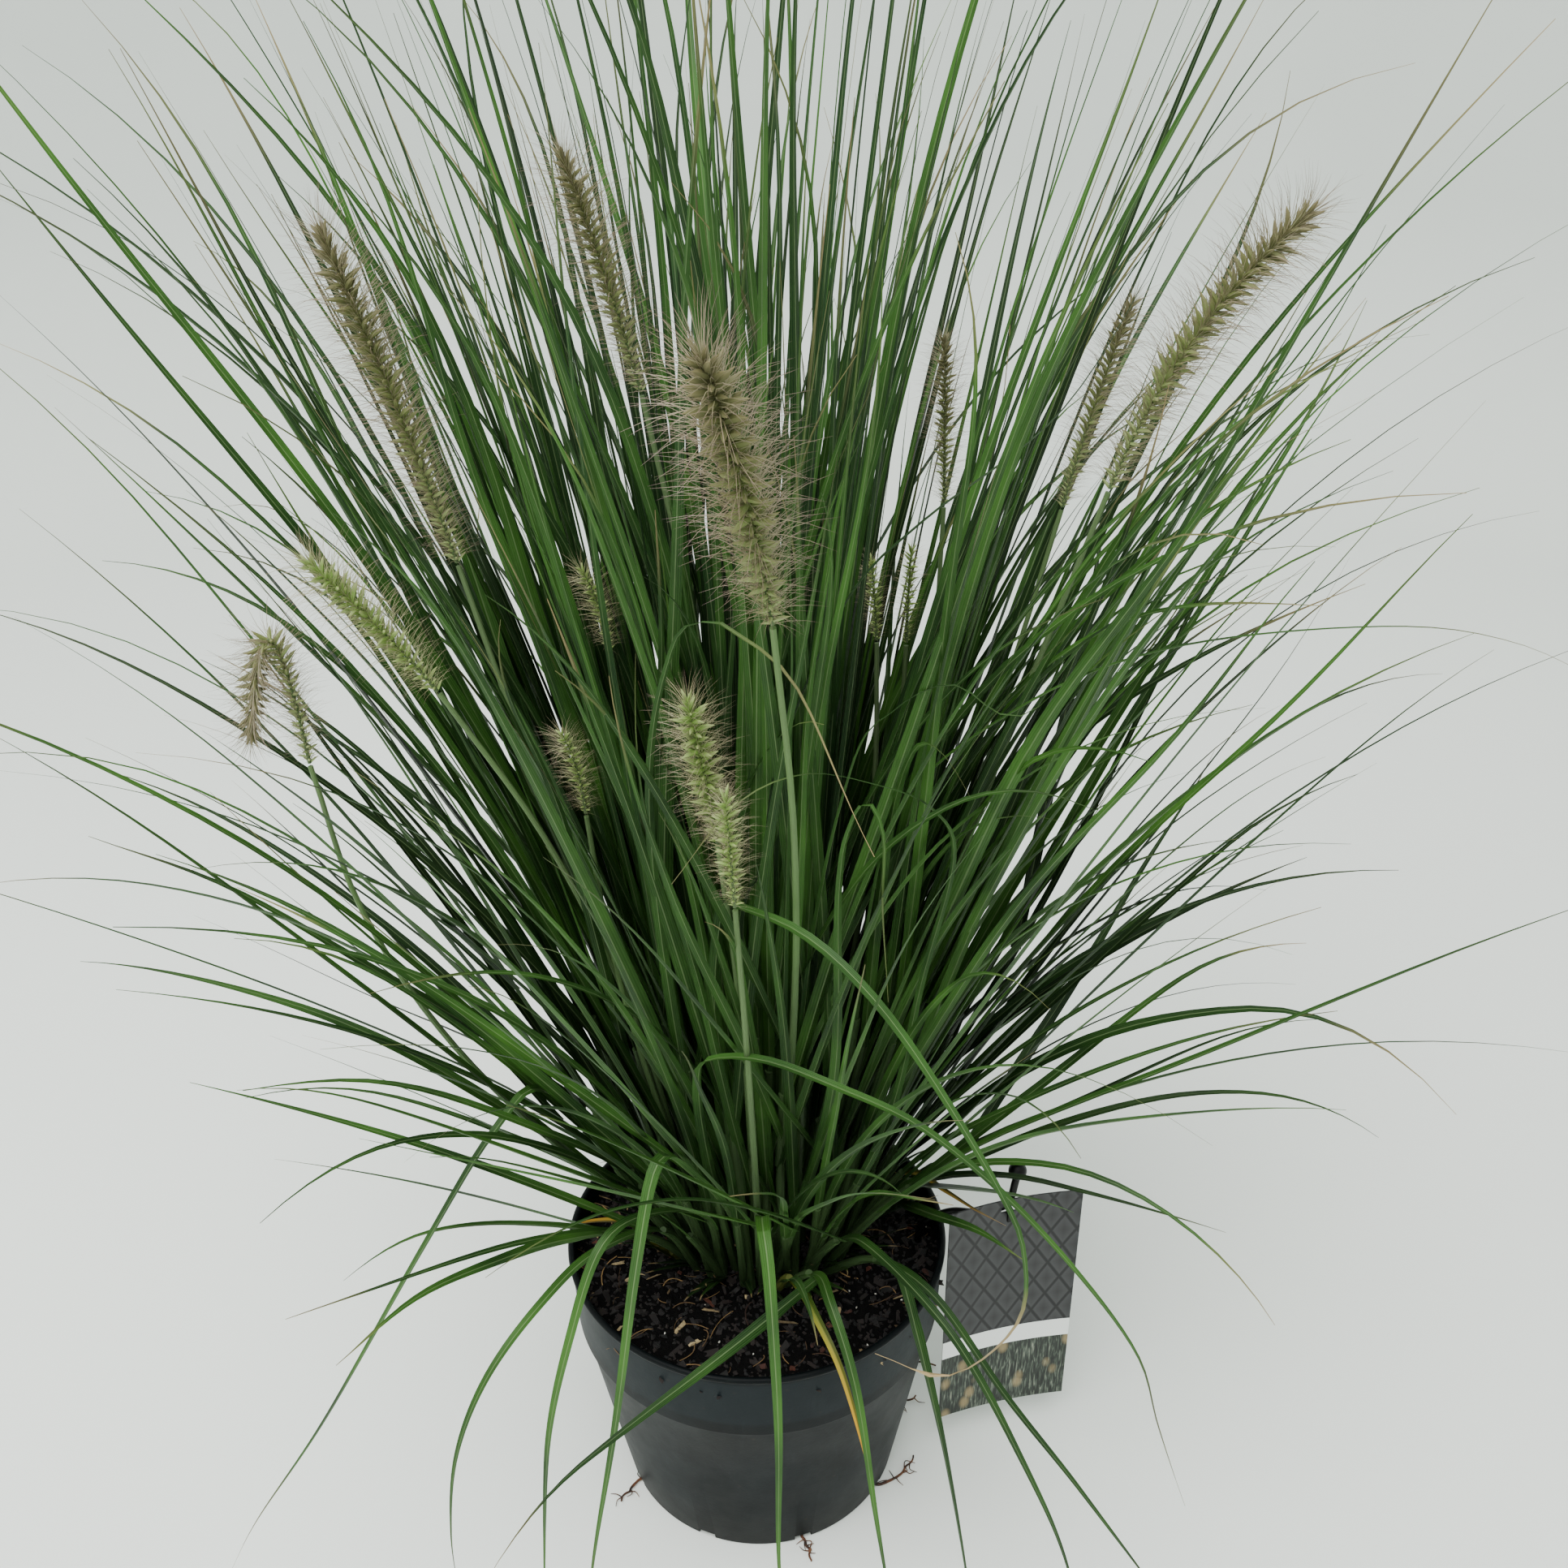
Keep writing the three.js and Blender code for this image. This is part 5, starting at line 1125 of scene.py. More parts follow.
def plant_measured(index, distance, angle, azimuth, length, width, leans):
    draw = draws(SIDE_SEED + index)
    swerve = 14 * (draw() - 0.5)
    twist = 120 * (draw() - 0.5)

    def attempt(k):
        root, bunch = seat(distance, angle + NUDGES[k] / 2)
        turn = azimuth + NUDGES[k] / 2
        line = lean_line(root, [turn, turn, turn + swerve], leans, length, twist)
        return {**line, "bunch": bunch, "parent": -1, "stride": 4, "width": width,
                "sheath": 0.24, "foot_width": SHEATH_WIDTH, "leaves": 2}

    plant(len(NUDGES), attempt)


def plant_fill(index, count, seed, extra=False):
    """Shoots that fill the clump: they stand up in its middle and lean out at its edge."""
    draw = draws(seed + index)

    def attempt(_):
        q = math.sqrt((index + 0.4) / count)
        distance = 11 + (CROWN_R - 13) * min(max(q + 0.12 * (draw() - 0.5), 0), 1)
        angle = index * GOLDEN_ANGLE + 34 * (draw() - 0.5)
        root, bunch = seat(distance, angle)
        lean = 0.5 + 9.7 * q**1.5 + 6 * (draw() - 0.4)
        droop = 6 + 34 * draw() ** 2.2 + 7 * q
        length = mix(700, 526, q) * (0.86 + 0.17 * draw())
        power = 1.6 + 1.6 * draw()
        leans = [lean + droop * (i / 5) ** power for i in range(6)]
        turn = angle + 30 * (draw() - 0.5)
        twist = 150 * (draw() - 0.5)
        line = lean_line(root, [turn, turn, turn + 26 * (draw() - 0.5)], leans, length, twist)
        return {**line, "bunch": bunch, "parent": -1, "stride": 4, "width": 3 + 2.8 * draw(),
                "sheath": 0.3, "foot_width": SHEATH_WIDTH, "leaves": 2, "full": True}

    plant(14, attempt, extra)


def plant_edge(index, seed, extra=False):
    """Shorter shoots at the edge of the crown, which lean well out."""
    draw = draws(seed + index)

    def attempt(_):
        angle = index * GOLDEN_ANGLE + 30 * draw()
        root, bunch = seat(CROWN_R - 2 - 8 * draw(), angle)
        lean = 20 + 26 * draw()
        droop = 5 + 50 * draw() ** 2
        length = 260 + 190 * draw()
        rising = [0.6, 0.8, 1, 1, 1, 1]
        leans = [lean * share + droop * (i / 5) ** 2 for i, share in enumerate(rising)]
        turn = angle + 50 * (draw() - 0.5)
        twist = 150 * (draw() - 0.5)
        line = lean_line(root, [turn, turn, turn + 30 * (draw() - 0.5)], leans, length, twist)
        return {**line, "bunch": bunch, "parent": -1, "stride": 4, "width": 3 + 2 * draw(),
                "sheath": 0.2, "foot_width": SHEATH_WIDTH, "leaves": 1}

    plant(12, attempt, extra)


def plant_leaf(shoot, index, number, seed, extra=False):
    """A leaf that leaves the sheath of a shoot, by turns on its two sides."""
    draw = draws(seed + index)

    def attempt(_):
        height = min(max(0.07 + 0.3 * (index + draw()) / number, 0.05), 0.4)
        stride = shoot["stride"]
        i = int(height * STEPS / stride)
        start, end = shoot["points"][i * stride], shoot["points"][(i + 1) * stride]
        root = start + (end - start) * (height * STEPS / stride - i)
        way = unit(end - start)
        lean = math.degrees(math.acos(way[2]))
        heading = math.degrees(math.atan2(way[1], way[0]))
        turn = heading + (1 if index % 2 else -1) * (8 + 60 * draw() ** 1.5)
        opening = 3 + 8 * draw()
        droop = 5 + 60 * draw() ** 2.6
        power = 1.4 + 1.6 * draw()
        length = (330 + 230 * draw()) * mix(1, 0.5, min(max((lean + 0.06 * droop) / 50, 0), 1))
        leans = [lean + opening + droop * (j / 4) ** power for j in range(5)]
        twist = 170 * (draw() - 0.5)
        line = lean_line(root, [turn, turn + 18 * (draw() - 0.5)], leans, length, twist)
        return {**line, "bunch": shoot["bunch"], "parent": shoot["id"], "stride": 6,
                "width": 3.9 + 2 * draw(), "sheath": 0}

    plant(12, attempt, extra)


def plant_stub(index, seed, extra=False):
    """A short cut leaf end that stands out at the foot of the clump."""
    draw = draws(seed + index)

    def attempt(_):
        angle = index * GOLDEN_ANGLE + 20 * draw()
        root, bunch = seat(CROWN_R - 9 * draw(), angle)
        root[2] = CROWN_TOP - 2
        lean = 38 + 26 * draw()
        turn = angle + 50 * (draw() - 0.5)
        line = lean_line(root, [turn, turn], [lean, lean + 8], 26 + 30 * draw())
        return {**line, "bunch": bunch, "parent": -1, "stride": 24, "width": 3 + draw(),
                "sheath": 0, "cut": True}

    plant(10, attempt, extra)


for i, (p, q) in enumerate(zip(STAKE_ROUTE, STAKE_ROUTE[1:])):
    half = STAKE_R + 1 if i + 2 < len(STAKE_ROUTE) else KNOB_R + 1
    standing.put(np.array([p], float), np.array([q], float), half, -1, FIXED)
for head in HEADS:
    plant_culm(*head)
for blade in FRONT_BLADES + LEFT_HANGING:
    plant_route(*blade)
for i, blade in enumerate(SIDE_BLADES):
    plant_measured(i, *blade)
# The space in front of each head stays open, towards the place the plant is looked at from.
for _, foot, bend, tip, _, spread, _, _ in HEADS:
    along_head = head_line(foot, bend, tip, (np.arange(5) + 0.5) / 5)
    standing.put(along_head, along_head + VIEW_DEPTH * unit(np.array(VIEWED_FROM) - along_head),
                 spread * 0.55, -1, FIXED)
for i in range(FILL_SHOOTS):
    plant_fill(i, FILL_SHOOTS, FILL_SEED)
for i in range(EDGE_SHOOTS):
    plant_edge(i, EDGE_SEED)
for shoot in list(shoots):
    for i in range(shoot["leaves"]):
        plant_leaf(shoot, i, shoot["leaves"], LEAF_SEED + 7 * shoot["id"])
for i in range(STUBS):
    plant_stub(i, STUB_SEED)

# Finer blades between these: more shoots in the crown, more leaves on each shoot and more stubs.
EXTRA_SHOOTS = 84
EXTRA_EDGE = 60
EXTRA_LEAVES = 3
EXTRA_STUBS = 60
for i in range(EXTRA_SHOOTS):
    plant_fill(i, EXTRA_SHOOTS, FINE_FILL_SEED, extra=True)
for number, shoot in enumerate([s for s in shoots if s.get("full")]):
    for i in range(EXTRA_LEAVES):
        plant_leaf(shoot, i, EXTRA_LEAVES, FINE_LEAF_SEED + 11 * number, extra=True)
for i in range(EXTRA_EDGE):
    plant_edge(i, FINE_EDGE_SEED, extra=True)
for i in range(EXTRA_STUBS):
    plant_stub(i, FINE_STUB_SEED, extra=True)

# How a blade is drawn, in millimetres and shares: one keeps a broad dry end, three turn yellow.
DRY_END = "over_rim_right"
DRY_END_WIDTH = 1.6
FINEST_WIDTH = 0.22
DRYNESS_OF_DRY_END = 4.0
DRYNESS_OF_STUB = 2.2
YELLOW_BLADES = {"yellow_over_rim": 1.0, "orange_to_card": 0.55, "short_yellowed": 0.7}
CULM_TOP_WIDTH = 2.1
HOOK_START = 0.72
HOOK_REACH = 0.06


def drawn_lines(blade, number):
    """What is drawn of a blade: a round sheath or culm, and a flat blade that leaves it."""
    draw = draws(SWAY_SEED + number)
    line = blade.get("fine", blade)
    points = line["points"]
    share = np.arange(len(points)) / (len(points) - 1)
    along = along_of(points)
    across = unit(line["across"] - along * (along * line["across"]).sum(-1, keepdims=True))
    central = math.hypot(points[0][0] - CROWN_X, points[0][1] - CROWN_Y) / CROWN_R
    in_front = 1 if points[-1][1] < -60 else 0
    looks = {"tint": mix(draw(), 0.9, 0.6 * in_front), "cool": (1 - central) * draw() ** 0.6,
             "dry": draw() ** 2.2}
    name = blade.get("name")
    if blade.get("cut"):
        looks["dry"] = DRYNESS_OF_STUB
    if name == DRY_END:
        looks["dry"] = DRYNESS_OF_DRY_END
    looks["gold"] = YELLOW_BLADES.get(name, 0.0)
    looks = {key: np.array([value]) for key, value in looks.items()}
    if blade.get("round"):
        width = mix(blade["foot_width"] * 0.9, CULM_TOP_WIDTH, share**0.7)
        return [], [{"points": points, "width": width * MM, "along": share * 0.8,
                     "across": across, **looks, "sheathed": np.clip(1.5 - 2 * share, 0, 1)}]
    stems = []
    phase, turns = 2 * math.pi * draw(), 0.8 + 1.2 * draw()
    reach = np.linalg.norm(points[-1] - points[0])
    sway = (0.002 + 0.01 * draw() ** 2) * reach * share**1.6
    points = points + across * (sway * np.sin(phase + 2 * math.pi * turns * share))[:, None]
    late = np.clip((share - HOOK_START) / (1 - HOOK_START), 0, 1)
    hook = HOOK_REACH * reach * (2 * draw() - 1) ** 3 * late**2.4
    points = points + across * hook[:, None] - np.array([0, 0, 0.5]) * np.abs(hook)[:, None]
    if blade["sheath"]:
        last = int(round(blade["sheath"] * (len(points) - 1))) + 1
        width = mix(SHEATH_WIDTH * 0.92, SHEATH_WIDTH * 0.66, share[:last] / blade["sheath"])
        stems.append({"points": points[:last], "width": width * MM, "along": share[:last],
                      "across": across[:last], **looks, "sheathed": np.ones(last)})
    start = max(0, int(round(blade["sheath"] * (len(points) - 1))) - 3)
    t = share[start:]
    finest = (DRY_END_WIDTH if name == DRY_END else FINEST_WIDTH) * (t < 0.97) + FINEST_WIDTH
    slender = np.minimum(1, 0.3 + 4 * np.maximum(t, 0.12)) * (1 - t**1.5)
    width = np.maximum(1.32 * blade["width"] * slender, finest)
    leaf = {"points": points[start:], "width": width * MM, "along": t, "across": across[start:],
            **looks, "sheathed": np.clip((blade["sheath"] + 0.05 - t) / 0.1, 0, 1)}
    return [leaf], stems


def leaf_tree():
    """Draws a keeled blade along each loose line that lies flat to its across direction."""
    tree, given, made = new_tree("keeled leaves", {
        "Fold": "Float", "Keel": "Float", "Material": "Material"})
    width = add(tree, "GeometryNodeInputNamedAttribute", {"Name": "width"}, data_type="FLOAT")
    across = add(tree, "GeometryNodeInputNamedAttribute", {"Name": "across"},
                 data_type="FLOAT_VECTOR")
    line = add(tree, "GeometryNodeMeshToCurve", {"Mesh": given.outputs["Geometry"]})
    turned = add(tree, "GeometryNodeSetCurveNormal", {"Curve": line.outputs[0],
                                                      "Normal": across.outputs[0]}, mode="FREE")
    down = add(tree, "ShaderNodeMath", {0: given.outputs["Fold"], 1: -1.0}, operation="MULTIPLY")
    section = add(tree, "GeometryNodeCurvePrimitiveQuadrilateral", mode="KITE")
    kite = {socket.name: socket for socket in section.inputs if socket.enabled}
    section.inputs["Width"].default_value = 1.0
    tree.links.new(given.outputs["Keel"], kite["Bottom Height"])
    tree.links.new(down.outputs[0], kite["Top Height"])
    spot = add(tree, "ShaderNodeSeparateXYZ", {
        0: add(tree, "GeometryNodeInputPosition").outputs[0]})
    marked = add(tree, "GeometryNodeStoreNamedAttribute", {
        "Geometry": section.outputs[0], "Name": "side", "Value": spot.outputs["X"]})
    leaf = add(tree, "GeometryNodeCurveToMesh", {
        "Curve": turned.outputs[0], "Profile Curve": marked.outputs[0],
        "Scale": width.outputs[0], "Fill Caps": True})
    return close_tree(tree, leaf.outputs[0], given, made)


DRAWN_VEINS = 6


def living_grass():
    """Living grass blade: waxy and satin, dark green with a pale midrib and fine lengthwise
    veins, bluish inside the clump, straw or brown at the tips, pale green on the sheaths,
    and painted towards near-black low in the clump, except at its front, as painted shade."""
    material, tree, shader = new_material("living grass blade", IOR=1.42, Metallic=0.0,
                                          Specular_IOR_Level=0.2)
    read = {name: add(tree, "ShaderNodeAttribute", attribute_name=name).outputs["Fac"]
            for name in ("tint", "cool", "dry", "gold", "along", "side", "sheathed")}
    place = add(tree, "ShaderNodeTexCoord").outputs["Object"]
    patch = add(tree, "ShaderNodeTexNoise", {"Vector": place, "Scale": 18.0, "Detail": 3.0})
    blend = add(tree, "ShaderNodeMath", {0: read["tint"], 1: patch.outputs["Fac"]},
                operation="MULTIPLY")
    green = add(tree, "ShaderNodeValToRGB", {"Fac": blend.outputs[0]},
                stops=[(0.0, "#030e03"), (0.25, "#0d270a"), (0.62, "#38601f")])
    cool = add(tree, "ShaderNodeMath", {0: read["cool"], 1: 0.55}, operation="MULTIPLY")
    # Real veins lie 0.3 mm apart, too fine to show, so only six are drawn across a blade.
    vein = add(tree, "ShaderNodeMath", {0: read["side"], 1: 2 * math.pi * DRAWN_VEINS},
               operation="MULTIPLY")
    ridge = add(tree, "ShaderNodeMath", {0: vein.outputs[0]}, operation="COSINE")
    ribbed = add(tree, "ShaderNodeMapRange", {"Value": ridge.outputs[0], "From Min": -1.0,
                                              "To Min": 0.0, "To Max": 0.2})
    off_middle = add(tree, "ShaderNodeMath", {0: read["side"]}, operation="ABSOLUTE")
    midrib = add(tree, "ShaderNodeMapRange", {"Value": off_middle.outputs[0], "From Min": 0.02,
                                              "From Max": 0.08, "To Min": 0.32, "To Max": 0.0})
    sheath = add(tree, "ShaderNodeValToRGB", {"Fac": patch.outputs["Fac"]},
                 stops=[(0.3, "#12260f"), (0.7, "#3c5530")])
    sheathed = add(tree, "ShaderNodeMath", {0: read["sheathed"], 1: 0.7}, operation="MULTIPLY")
    aged = add(tree, "ShaderNodeMapRange", {"Value": read["along"], "From Min": 0.35,
                                            "From Max": 0.95, "To Min": 0.5, "To Max": 1.6})
    edge = add(tree, "ShaderNodeMapRange", {"Value": read["side"], "From Min": -0.12,
                                            "From Max": 0.2, "To Min": 1.0, "To Max": 0.15})
    ageing = add(tree, "ShaderNodeMath", {0: aged.outputs[0], 1: edge.outputs[0]},
                 operation="MULTIPLY")
    yellowing = add(tree, "ShaderNodeMath", {0: ageing.outputs[0], 1: read["gold"]},
                    operation="MULTIPLY", use_clamp=True)
    ripe = add(tree, "ShaderNodeValToRGB", {"Fac": read["along"]},
               stops=[(0.45, "#b7b64a"), (0.75, "#d9a31c"), (0.94, "#7a4a22")])
    # Painted shade: blades low in the clump and behind its front are painted towards near-black for
    # the shade inside the clump.
    spot = add(tree, "ShaderNodeSeparateXYZ", {"Vector": place})
    crown_shade_toward_back = add(tree, "ShaderNodeMapRange", {"Value": spot.outputs["Y"], "From Min": -0.075,
                                              "From Max": -0.01})
    under = add(tree, "ShaderNodeMapRange", {"Value": spot.outputs["Z"], "From Min": 0.16,
                                             "From Max": 0.5, "To Min": 0.66, "To Max": 0.0})
    painted_crown_shade = add(tree, "ShaderNodeMath", {0: crown_shade_toward_back.outputs[0], 1: under.outputs[0]},
               operation="MULTIPLY")
    tip = add(tree, "ShaderNodeMapRange", {"Value": read["along"], "From Min": 0.84,
                                           "From Max": 1.0, "To Max": 1.0})
    browned = add(tree, "ShaderNodeMath", {0: tip.outputs[0], 1: read["dry"]},
                  operation="MULTIPLY", use_clamp=True)
    colour = coats(tree, green.outputs["Color"], [
        (cool.outputs[0], "#1c3025"), (ribbed.outputs[0], "#4f6f38"),
        (midrib.outputs[0], "#7d9266"), (sheathed.outputs[0], sheath.outputs["Color"]),
        (yellowing.outputs[0], ripe.outputs["Color"]), (painted_crown_shade.outputs[0], "#020a03"),
        (browned.outputs[0], "#94805c")])
    rough = add(tree, "ShaderNodeMapRange", {"Value": patch.outputs["Fac"], "To Min": 0.36,
                                             "To Max": 0.6})
    relief = add(tree, "ShaderNodeBump", {"Height": ridge.outputs[0], "Strength": 0.25,
                                          "Distance": 0.2 * MM})
    wire(tree, shader, Base_Color=colour, Roughness=rough.outputs[0],
         Normal=relief.outputs["Normal"])
    return material


leaf_shape = leaf_tree()
grass_green = living_grass()
for number, (name, _, _) in enumerate(BUNCHES):
    leaves, stems = [], []
    for i, blade in enumerate(shoots):
        if blade["bunch"] == number:
            flat, round_ones = drawn_lines(blade, i)
            leaves += flat
            stems += round_ones
    leaf_part = lines_piece("leaves", leaves)
    grow(leaf_part, leaf_shape, Fold=0.12, Keel=0.22, Material=grass_green)
    stem_part = lines_piece("sheaths", stems)
    grow(stem_part, stem_shape, Sides=8, Material=grass_green)
    bunch = joined(name.replace("leaf_bunch", "blades"), [leaf_part, stem_part])
    bunch.data.shade_smooth()
    bunch.data.set_sharp_from_angle(angle=math.radians(20))
    fit(bunch, "grass_leaf", name)

# Flower heads: foxtail spikes, each a slim green axis with pointed spikelets set all round it
# and fine bristles that stand out past them. Ripe ones are brown at the top, young ones green.
# Lengths are shares of the head's own radius, and widths are shares of the length.
YOUNG_HEADS = ("young", "small", "dense")
HEAD_STEPS = 32
SPIKELETS_PER_MM = 1.5
SPIKELET_LENGTH = 1.2
SPIKELET_WIDTH = 0.08
BRISTLES_PER_MM = 10
BRISTLE_LENGTH = 1.25
BRISTLE_WIDTH = 0.0072
OPENING = math.radians(64)


def head_tree():
    """Sets spikelets or bristles round each axis by the golden angle. A spikelet is a small
    closed spindle and a bristle a three-sided thread, both bent a little towards the tip."""
    tree, given, made = new_tree("foxtail head", {
        "Count": "Int", "Length": "Float", "Thickness": "Float", "Sides": "Int",
        "Opening": "Float", "Scatter": "Float", "Belly": "Float", "Curl": "Float",
        "Seed": "Int", "Material": "Material"})
    aside = add(tree, "ShaderNodeCombineXYZ", {"Y": given.outputs["Curl"], "Z": 0.55})
    bend = add(tree, "GeometryNodeCurveQuadraticBezier", {
        "Resolution": 3, "Start": (0.0, 0.0, 0.0), "Middle": aside.outputs[0],
        "End": (0.0, 0.0, 1.0)})
    reach = add(tree, "GeometryNodeSplineParameter")
    swell = add(tree, "ShaderNodeMath", {0: reach.outputs["Factor"], 1: math.pi},
                operation="MULTIPLY")
    belly = add(tree, "ShaderNodeMath", {0: swell.outputs[0]}, operation="SINE")
    fat = add(tree, "ShaderNodeMath", {0: belly.outputs[0], 1: given.outputs["Belly"]},
              operation="MULTIPLY")
    taper = add(tree, "ShaderNodeMath", {0: 1.08, 1: reach.outputs["Factor"]},
                operation="SUBTRACT")
    slim = add(tree, "ShaderNodeMath", {0: fat.outputs[0], 1: taper.outputs[0]},
               operation="ADD")
    marked = add(tree, "GeometryNodeStoreNamedAttribute", {
        "Geometry": bend.outputs[0], "Name": "reach", "Value": reach.outputs["Factor"]})
    section = add(tree, "GeometryNodeCurvePrimitiveCircle", {
        "Resolution": given.outputs["Sides"], "Radius": given.outputs["Thickness"]})
    spindle = add(tree, "GeometryNodeCurveToMesh", {
        "Curve": marked.outputs[0], "Profile Curve": section.outputs[0],
        "Scale": slim.outputs[0], "Fill Caps": True})
    axis = add(tree, "GeometryNodeMeshToCurve", {"Mesh": given.outputs["Geometry"]})
    points = add(tree, "GeometryNodeCurveToPoints", {"Curve": axis.outputs[0],
                                                     "Count": given.outputs["Count"]})
    index = add(tree, "GeometryNodeInputIndex")
    around = add(tree, "ShaderNodeMath", {0: index.outputs[0],
                                          1: math.radians(GOLDEN_ANGLE)}, operation="MULTIPLY")
    spin = add(tree, "FunctionNodeAxisAngleToRotation", {"Axis": (0.0, 0.0, 1.0),
                                                         "Angle": around.outputs[0]})
    spun = add(tree, "FunctionNodeRotateRotation", {"Rotation": points.outputs["Rotation"],
                                                    "Rotate By": spin.outputs[0]},
               rotation_space="LOCAL")
    away = add(tree, "ShaderNodeMath", {0: given.outputs["Scatter"], 1: -1.0},
               operation="MULTIPLY")
    stray = add(tree, "FunctionNodeRandomValue", {2: away.outputs[0], 3: given.outputs["Scatter"],
                                                  "Seed": given.outputs["Seed"]})
    along = add(tree, "GeometryNodeInputNamedAttribute", {"Name": "along"}, data_type="FLOAT")
    closing = add(tree, "ShaderNodeMapRange", {"Value": along.outputs[0], "From Min": 0.88,
                                               "To Min": 1.0, "To Max": 0.45})
    opening = add(tree, "ShaderNodeMath", {0: given.outputs["Opening"],
                                           1: closing.outputs[0], 2: stray.outputs[1]},
                  operation="MULTIPLY_ADD")
    lean = add(tree, "FunctionNodeAxisAngleToRotation", {"Axis": (1.0, 0.0, 0.0),
                                                         "Angle": opening.outputs[0]})
    turned = add(tree, "FunctionNodeRotateRotation", {"Rotation": spun.outputs[0],
                                                      "Rotate By": lean.outputs[0]},
                 rotation_space="LOCAL")
    size = add(tree, "FunctionNodeRandomValue", {2: 0.7, 3: 1.15, "Seed": 4})
    bulge = add(tree, "ShaderNodeMapRange", {"Value": along.outputs[0], "From Max": 0.4,
                                             "To Min": 0.6, "To Max": 1.0})
    thin = add(tree, "ShaderNodeMapRange", {"Value": along.outputs[0], "From Min": 0.86,
                                            "To Min": 1.0, "To Max": 0.85})
    shape = add(tree, "ShaderNodeMath", {0: bulge.outputs[0], 1: thin.outputs[0]},
                operation="MULTIPLY")
    sized = add(tree, "ShaderNodeMath", {0: size.outputs[1], 1: shape.outputs[0]},
                operation="MULTIPLY")
    length = add(tree, "ShaderNodeMath", {0: sized.outputs[0], 1: given.outputs["Length"]},
                 operation="MULTIPLY")
    shade = add(tree, "FunctionNodeRandomValue", {"Seed": 17})
    toned = add(tree, "GeometryNodeStoreNamedAttribute", {
        "Geometry": points.outputs["Points"], "Name": "tone", "Value": shade.outputs[1]})
    placed = add(tree, "GeometryNodeInstanceOnPoints", {
        "Points": toned.outputs[0], "Instance": spindle.outputs[0],
        "Rotation": turned.outputs[0], "Scale": length.outputs[0]})
    return close_tree(tree, placed.outputs[0], given, made)


def spikelet_husk(name, low, middle, high, tips):
    """Grass spikelets: papery husks, pale green low on the head and browner higher up, each
    one darker or paler than its neighbour."""
    material, tree, shader = new_material(name, Roughness=0.7, Metallic=0.0)
    read = {key: add(tree, "ShaderNodeAttribute", attribute_name=key).outputs["Fac"]
            for key in ("along", "reach", "tone")}
    body = add(tree, "ShaderNodeValToRGB", {"Fac": read["along"]},
               stops=[(0.05, low), (0.5, middle), (0.95, high)])
    shade = add(tree, "ShaderNodeMapRange", {"Value": read["tone"], "To Min": 0.0, "To Max": 0.3})
    end = add(tree, "ShaderNodeMapRange", {"Value": read["reach"], "From Min": 0.45,
                                           "To Max": 0.8})
    colour = coats(tree, body.outputs["Color"], [(shade.outputs[0], "#4a5226"),
                                                 (end.outputs[0], tips)])
    wire(tree, shader, Base_Color=colour)
    return material


def bristle_hair(name, root, end, dry):
    """Bristles: fine stiff hairs, straw pale where they start and tinged purple at the ends."""
    material, tree, shader = new_material(name, Roughness=0.5, Metallic=0.0)
    reach, tone = (add(tree, "ShaderNodeAttribute", attribute_name=key).outputs["Fac"]
                   for key in ("reach", "tone"))
    pale = add(tree, "ShaderNodeMath", {0: tone, 1: 0.6}, operation="MULTIPLY")
    wire(tree, shader, Base_Color=coats(tree, root, [(reach, end), (pale.outputs[0], dry)]))
    return material


head_shape = head_tree()
ripe_husk = spikelet_husk("ripe spikelet husk", "#96a86a", "#727f45", "#524f2d", "#736a48")
young_husk = spikelet_husk("young spikelet husk", "#86a052", "#7c9a48", "#6e8c3d", "#a0a670")
ripe_hair = bristle_hair("ripe bristle", "#8c9064", "#5e4147", "#8a7664")
young_hair = bristle_hair("young bristle", "#8c9c60", "#8a6e66", "#9a9474")
for name, foot, bend, tip, core, spread, _, _ in HEADS:
    young = any(word in name for word in YOUNG_HEADS)
    share = np.arange(HEAD_STEPS + 1) / HEAD_STEPS
    axis = head_line(foot, bend, tip, share)
    length = np.linalg.norm(np.diff(axis, axis=0), axis=1).sum()
    axis_line = {"points": axis, "width": mix(1.7, 0.6, share) * MM, "along": share}
    core_part = lines_piece("axis", [axis_line])
    grow(core_part, stem_shape, Sides=6, Material=grass_green)
    husk_part = lines_piece("husks", [axis_line])
    grow(husk_part, head_shape, Count=int(length * SPIKELETS_PER_MM),
         Length=core * SPIKELET_LENGTH * MM, Thickness=SPIKELET_WIDTH, Sides=5, Opening=OPENING,
         Scatter=math.radians(12), Belly=0.9, Curl=0.08, Seed=2,
         Material=young_husk if young else ripe_husk)
    hair_part = lines_piece("bristles", [axis_line])
    grow(hair_part, head_shape, Count=int(length * BRISTLES_PER_MM),
         Length=spread * BRISTLE_LENGTH * MM, Thickness=BRISTLE_WIDTH, Sides=3, Opening=OPENING,
         Scatter=math.radians(24), Belly=0.0, Curl=0.16, Seed=9,
         Material=young_hair if young else ripe_hair)
    whole = joined(name.replace("flower_head", "foxtail"), [core_part, husk_part, hair_part])
    fit(whole, "young_flower_head" if young else "flower_head", name)

# Floor and walls of the studio: a pale round sweep that closes all round the object.
SWEEP_R = 2300
COVE_R = 700
WALL_TOP = 2600


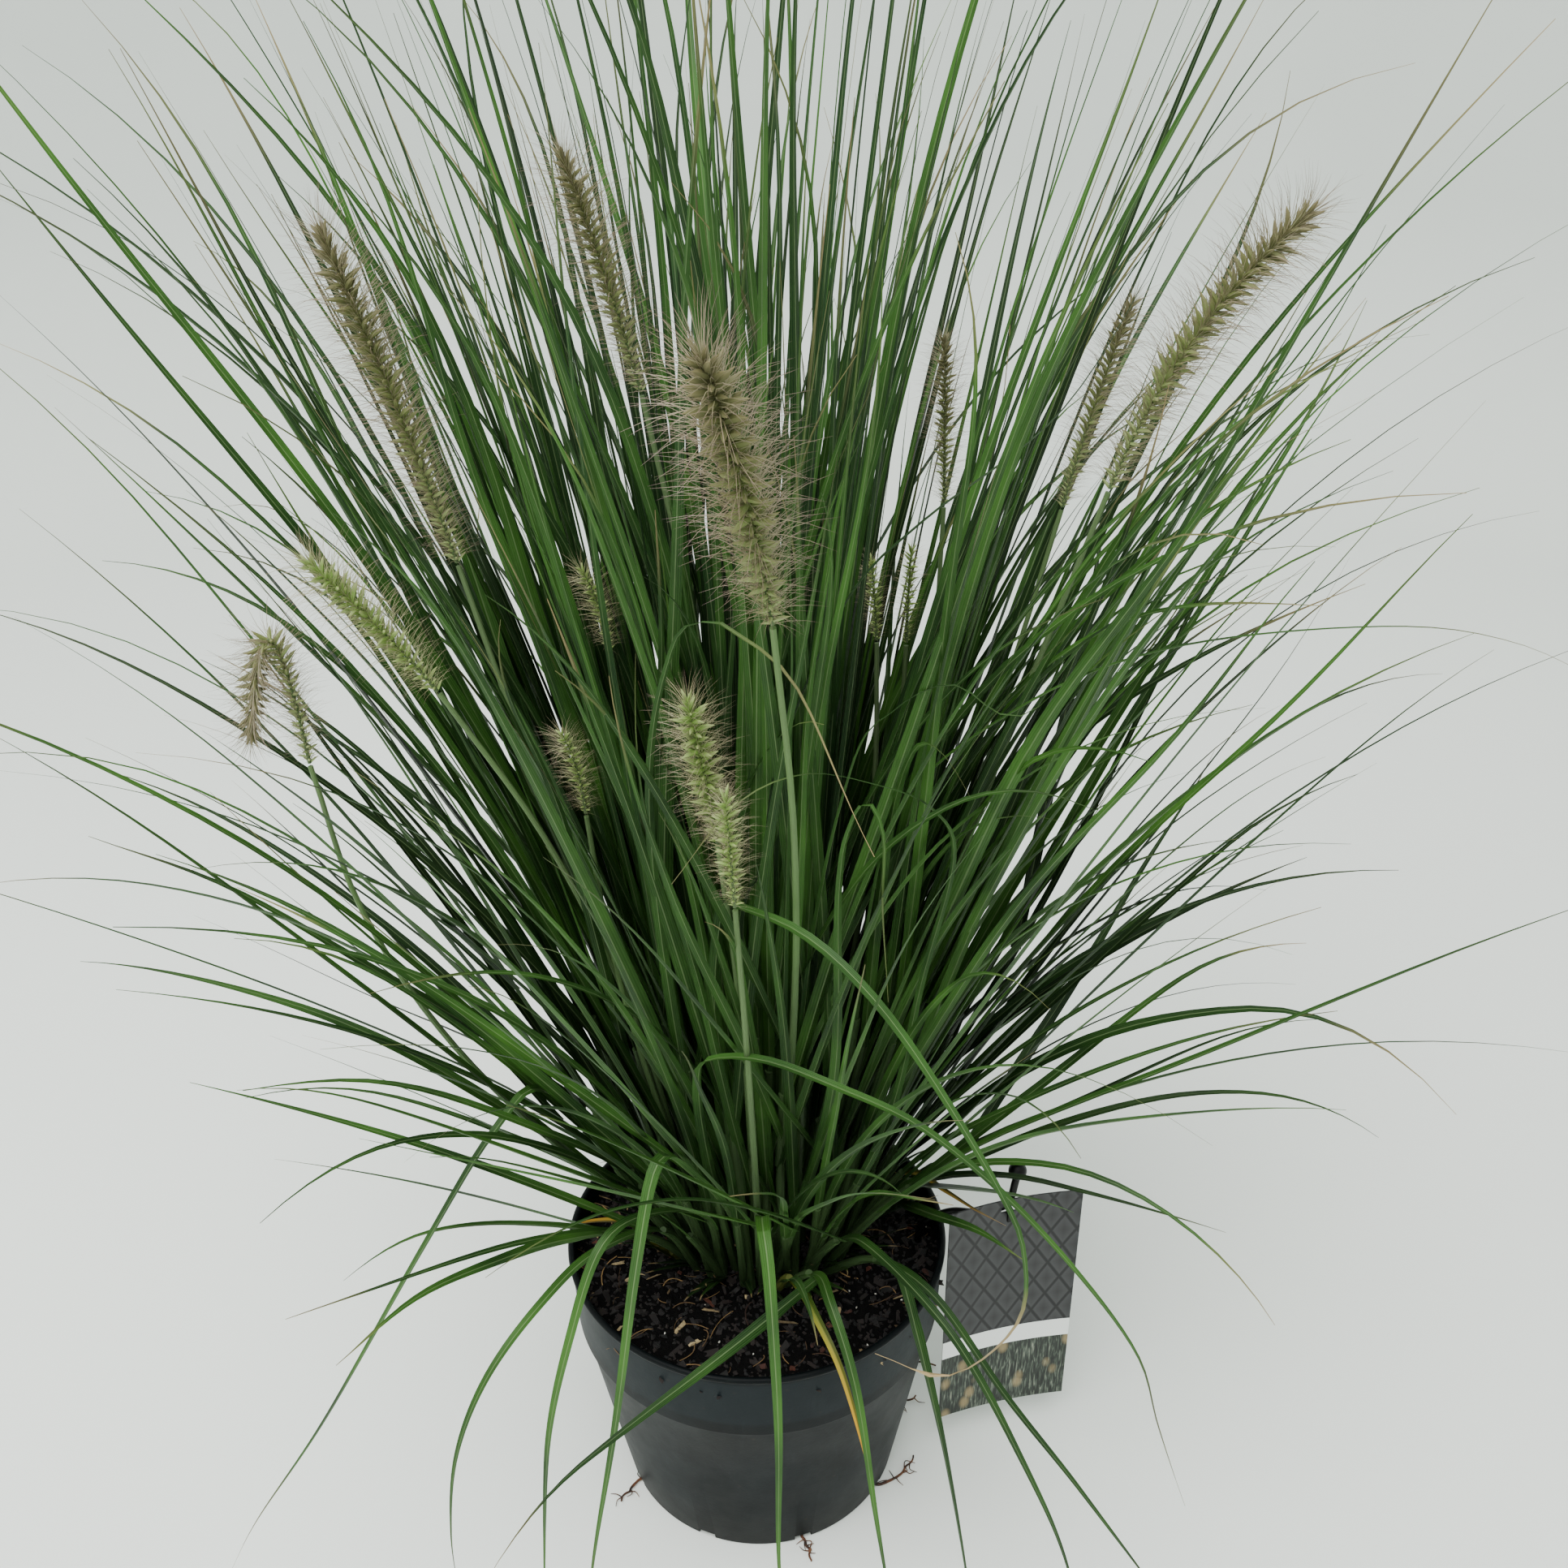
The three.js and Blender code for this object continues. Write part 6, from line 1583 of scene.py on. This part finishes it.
def studio_paint():
    """Matt studio paint: a pale cool grey, painted a little whiter on the floor than on the wall as
    painted light from above.
    """
    material, tree, shader = new_material("matt studio paint", Roughness=0.9, Metallic=0.0)
    place = add(tree, "ShaderNodeTexCoord").outputs["Object"]
    cloud = add(tree, "ShaderNodeTexNoise", {"Vector": place, "Scale": 2.0, "Detail": 3.0})
    wall = add(tree, "ShaderNodeValToRGB", {"Fac": cloud.outputs["Fac"]},
               stops=[(0.3, "#c6ccc7"), (0.7, "#ced3ce")])
    height = add(tree, "ShaderNodeSeparateXYZ", {"Vector": place})
    # Painted light: the floor and the foot of the sweep are painted whiter for the top light that
    # falls on them.
    low = add(tree, "ShaderNodeMapRange", {"Value": height.outputs["Z"], "From Max": 0.35,
                                           "To Min": 1.0, "To Max": 0.0})
    colour = coats(tree, wall.outputs["Color"], [(low.outputs[0], "#e3e7e2")])
    wire(tree, shader, Base_Color=colour)
    return material


sweep = lathe("studio sweep", [
    (0, 0), (SWEEP_R - COVE_R, 0),
    *arc(SWEEP_R - COVE_R, COVE_R, COVE_R, -85, 0, 16), (SWEEP_R, WALL_TOP)], 96)
sweep.data.flip_normals()
sweep.data.shade_smooth()
sweep.data.materials.append(studio_paint())

# Soft studio light: an even pale surrounding and one large soft source overhead and in front.
world = bpy.data.worlds.new("soft surroundings")
world.use_nodes = True
world.node_tree.nodes["Background"].inputs["Color"].default_value = linear("#f2f5f4")
world.node_tree.nodes["Background"].inputs["Strength"].default_value = 0.95
bpy.context.scene.world = world
softbox = bpy.data.lights.new("softbox", "AREA")
softbox.shape = "DISK"
softbox.size = 2.2
softbox.energy = 125
lamp = bpy.data.objects.new("softbox", softbox)
lamp.location = (-0.5, -0.9, 2.4)
lamp.rotation_euler = Vector((0.5, 0.9, -2.1)).to_track_quat("-Z", "Y").to_euler()
bpy.context.scene.collection.objects.link(lamp)

# Camera: it stands at the height of the leaf tips and looks down on the pot.
PITCH = 28.9
ROLL = 0.6
FOCAL_PIXELS = 1937
FRAME_PIXELS = 1932
camera = bpy.data.objects.new("camera", bpy.data.cameras.new("camera"))
bpy.context.scene.collection.objects.link(camera)
camera.data.sensor_width = 36
camera.data.lens = 36 * FOCAL_PIXELS / FRAME_PIXELS
camera.data.clip_start = 0.02
camera.matrix_world = (
    Matrix.Translation(Vector(VIEWED_FROM) * MM)
    @ Matrix.Rotation(math.radians(90 - PITCH), 4, "X")
    @ Matrix.Rotation(math.radians(-ROLL), 4, "Z")
)
bpy.context.scene.camera = camera
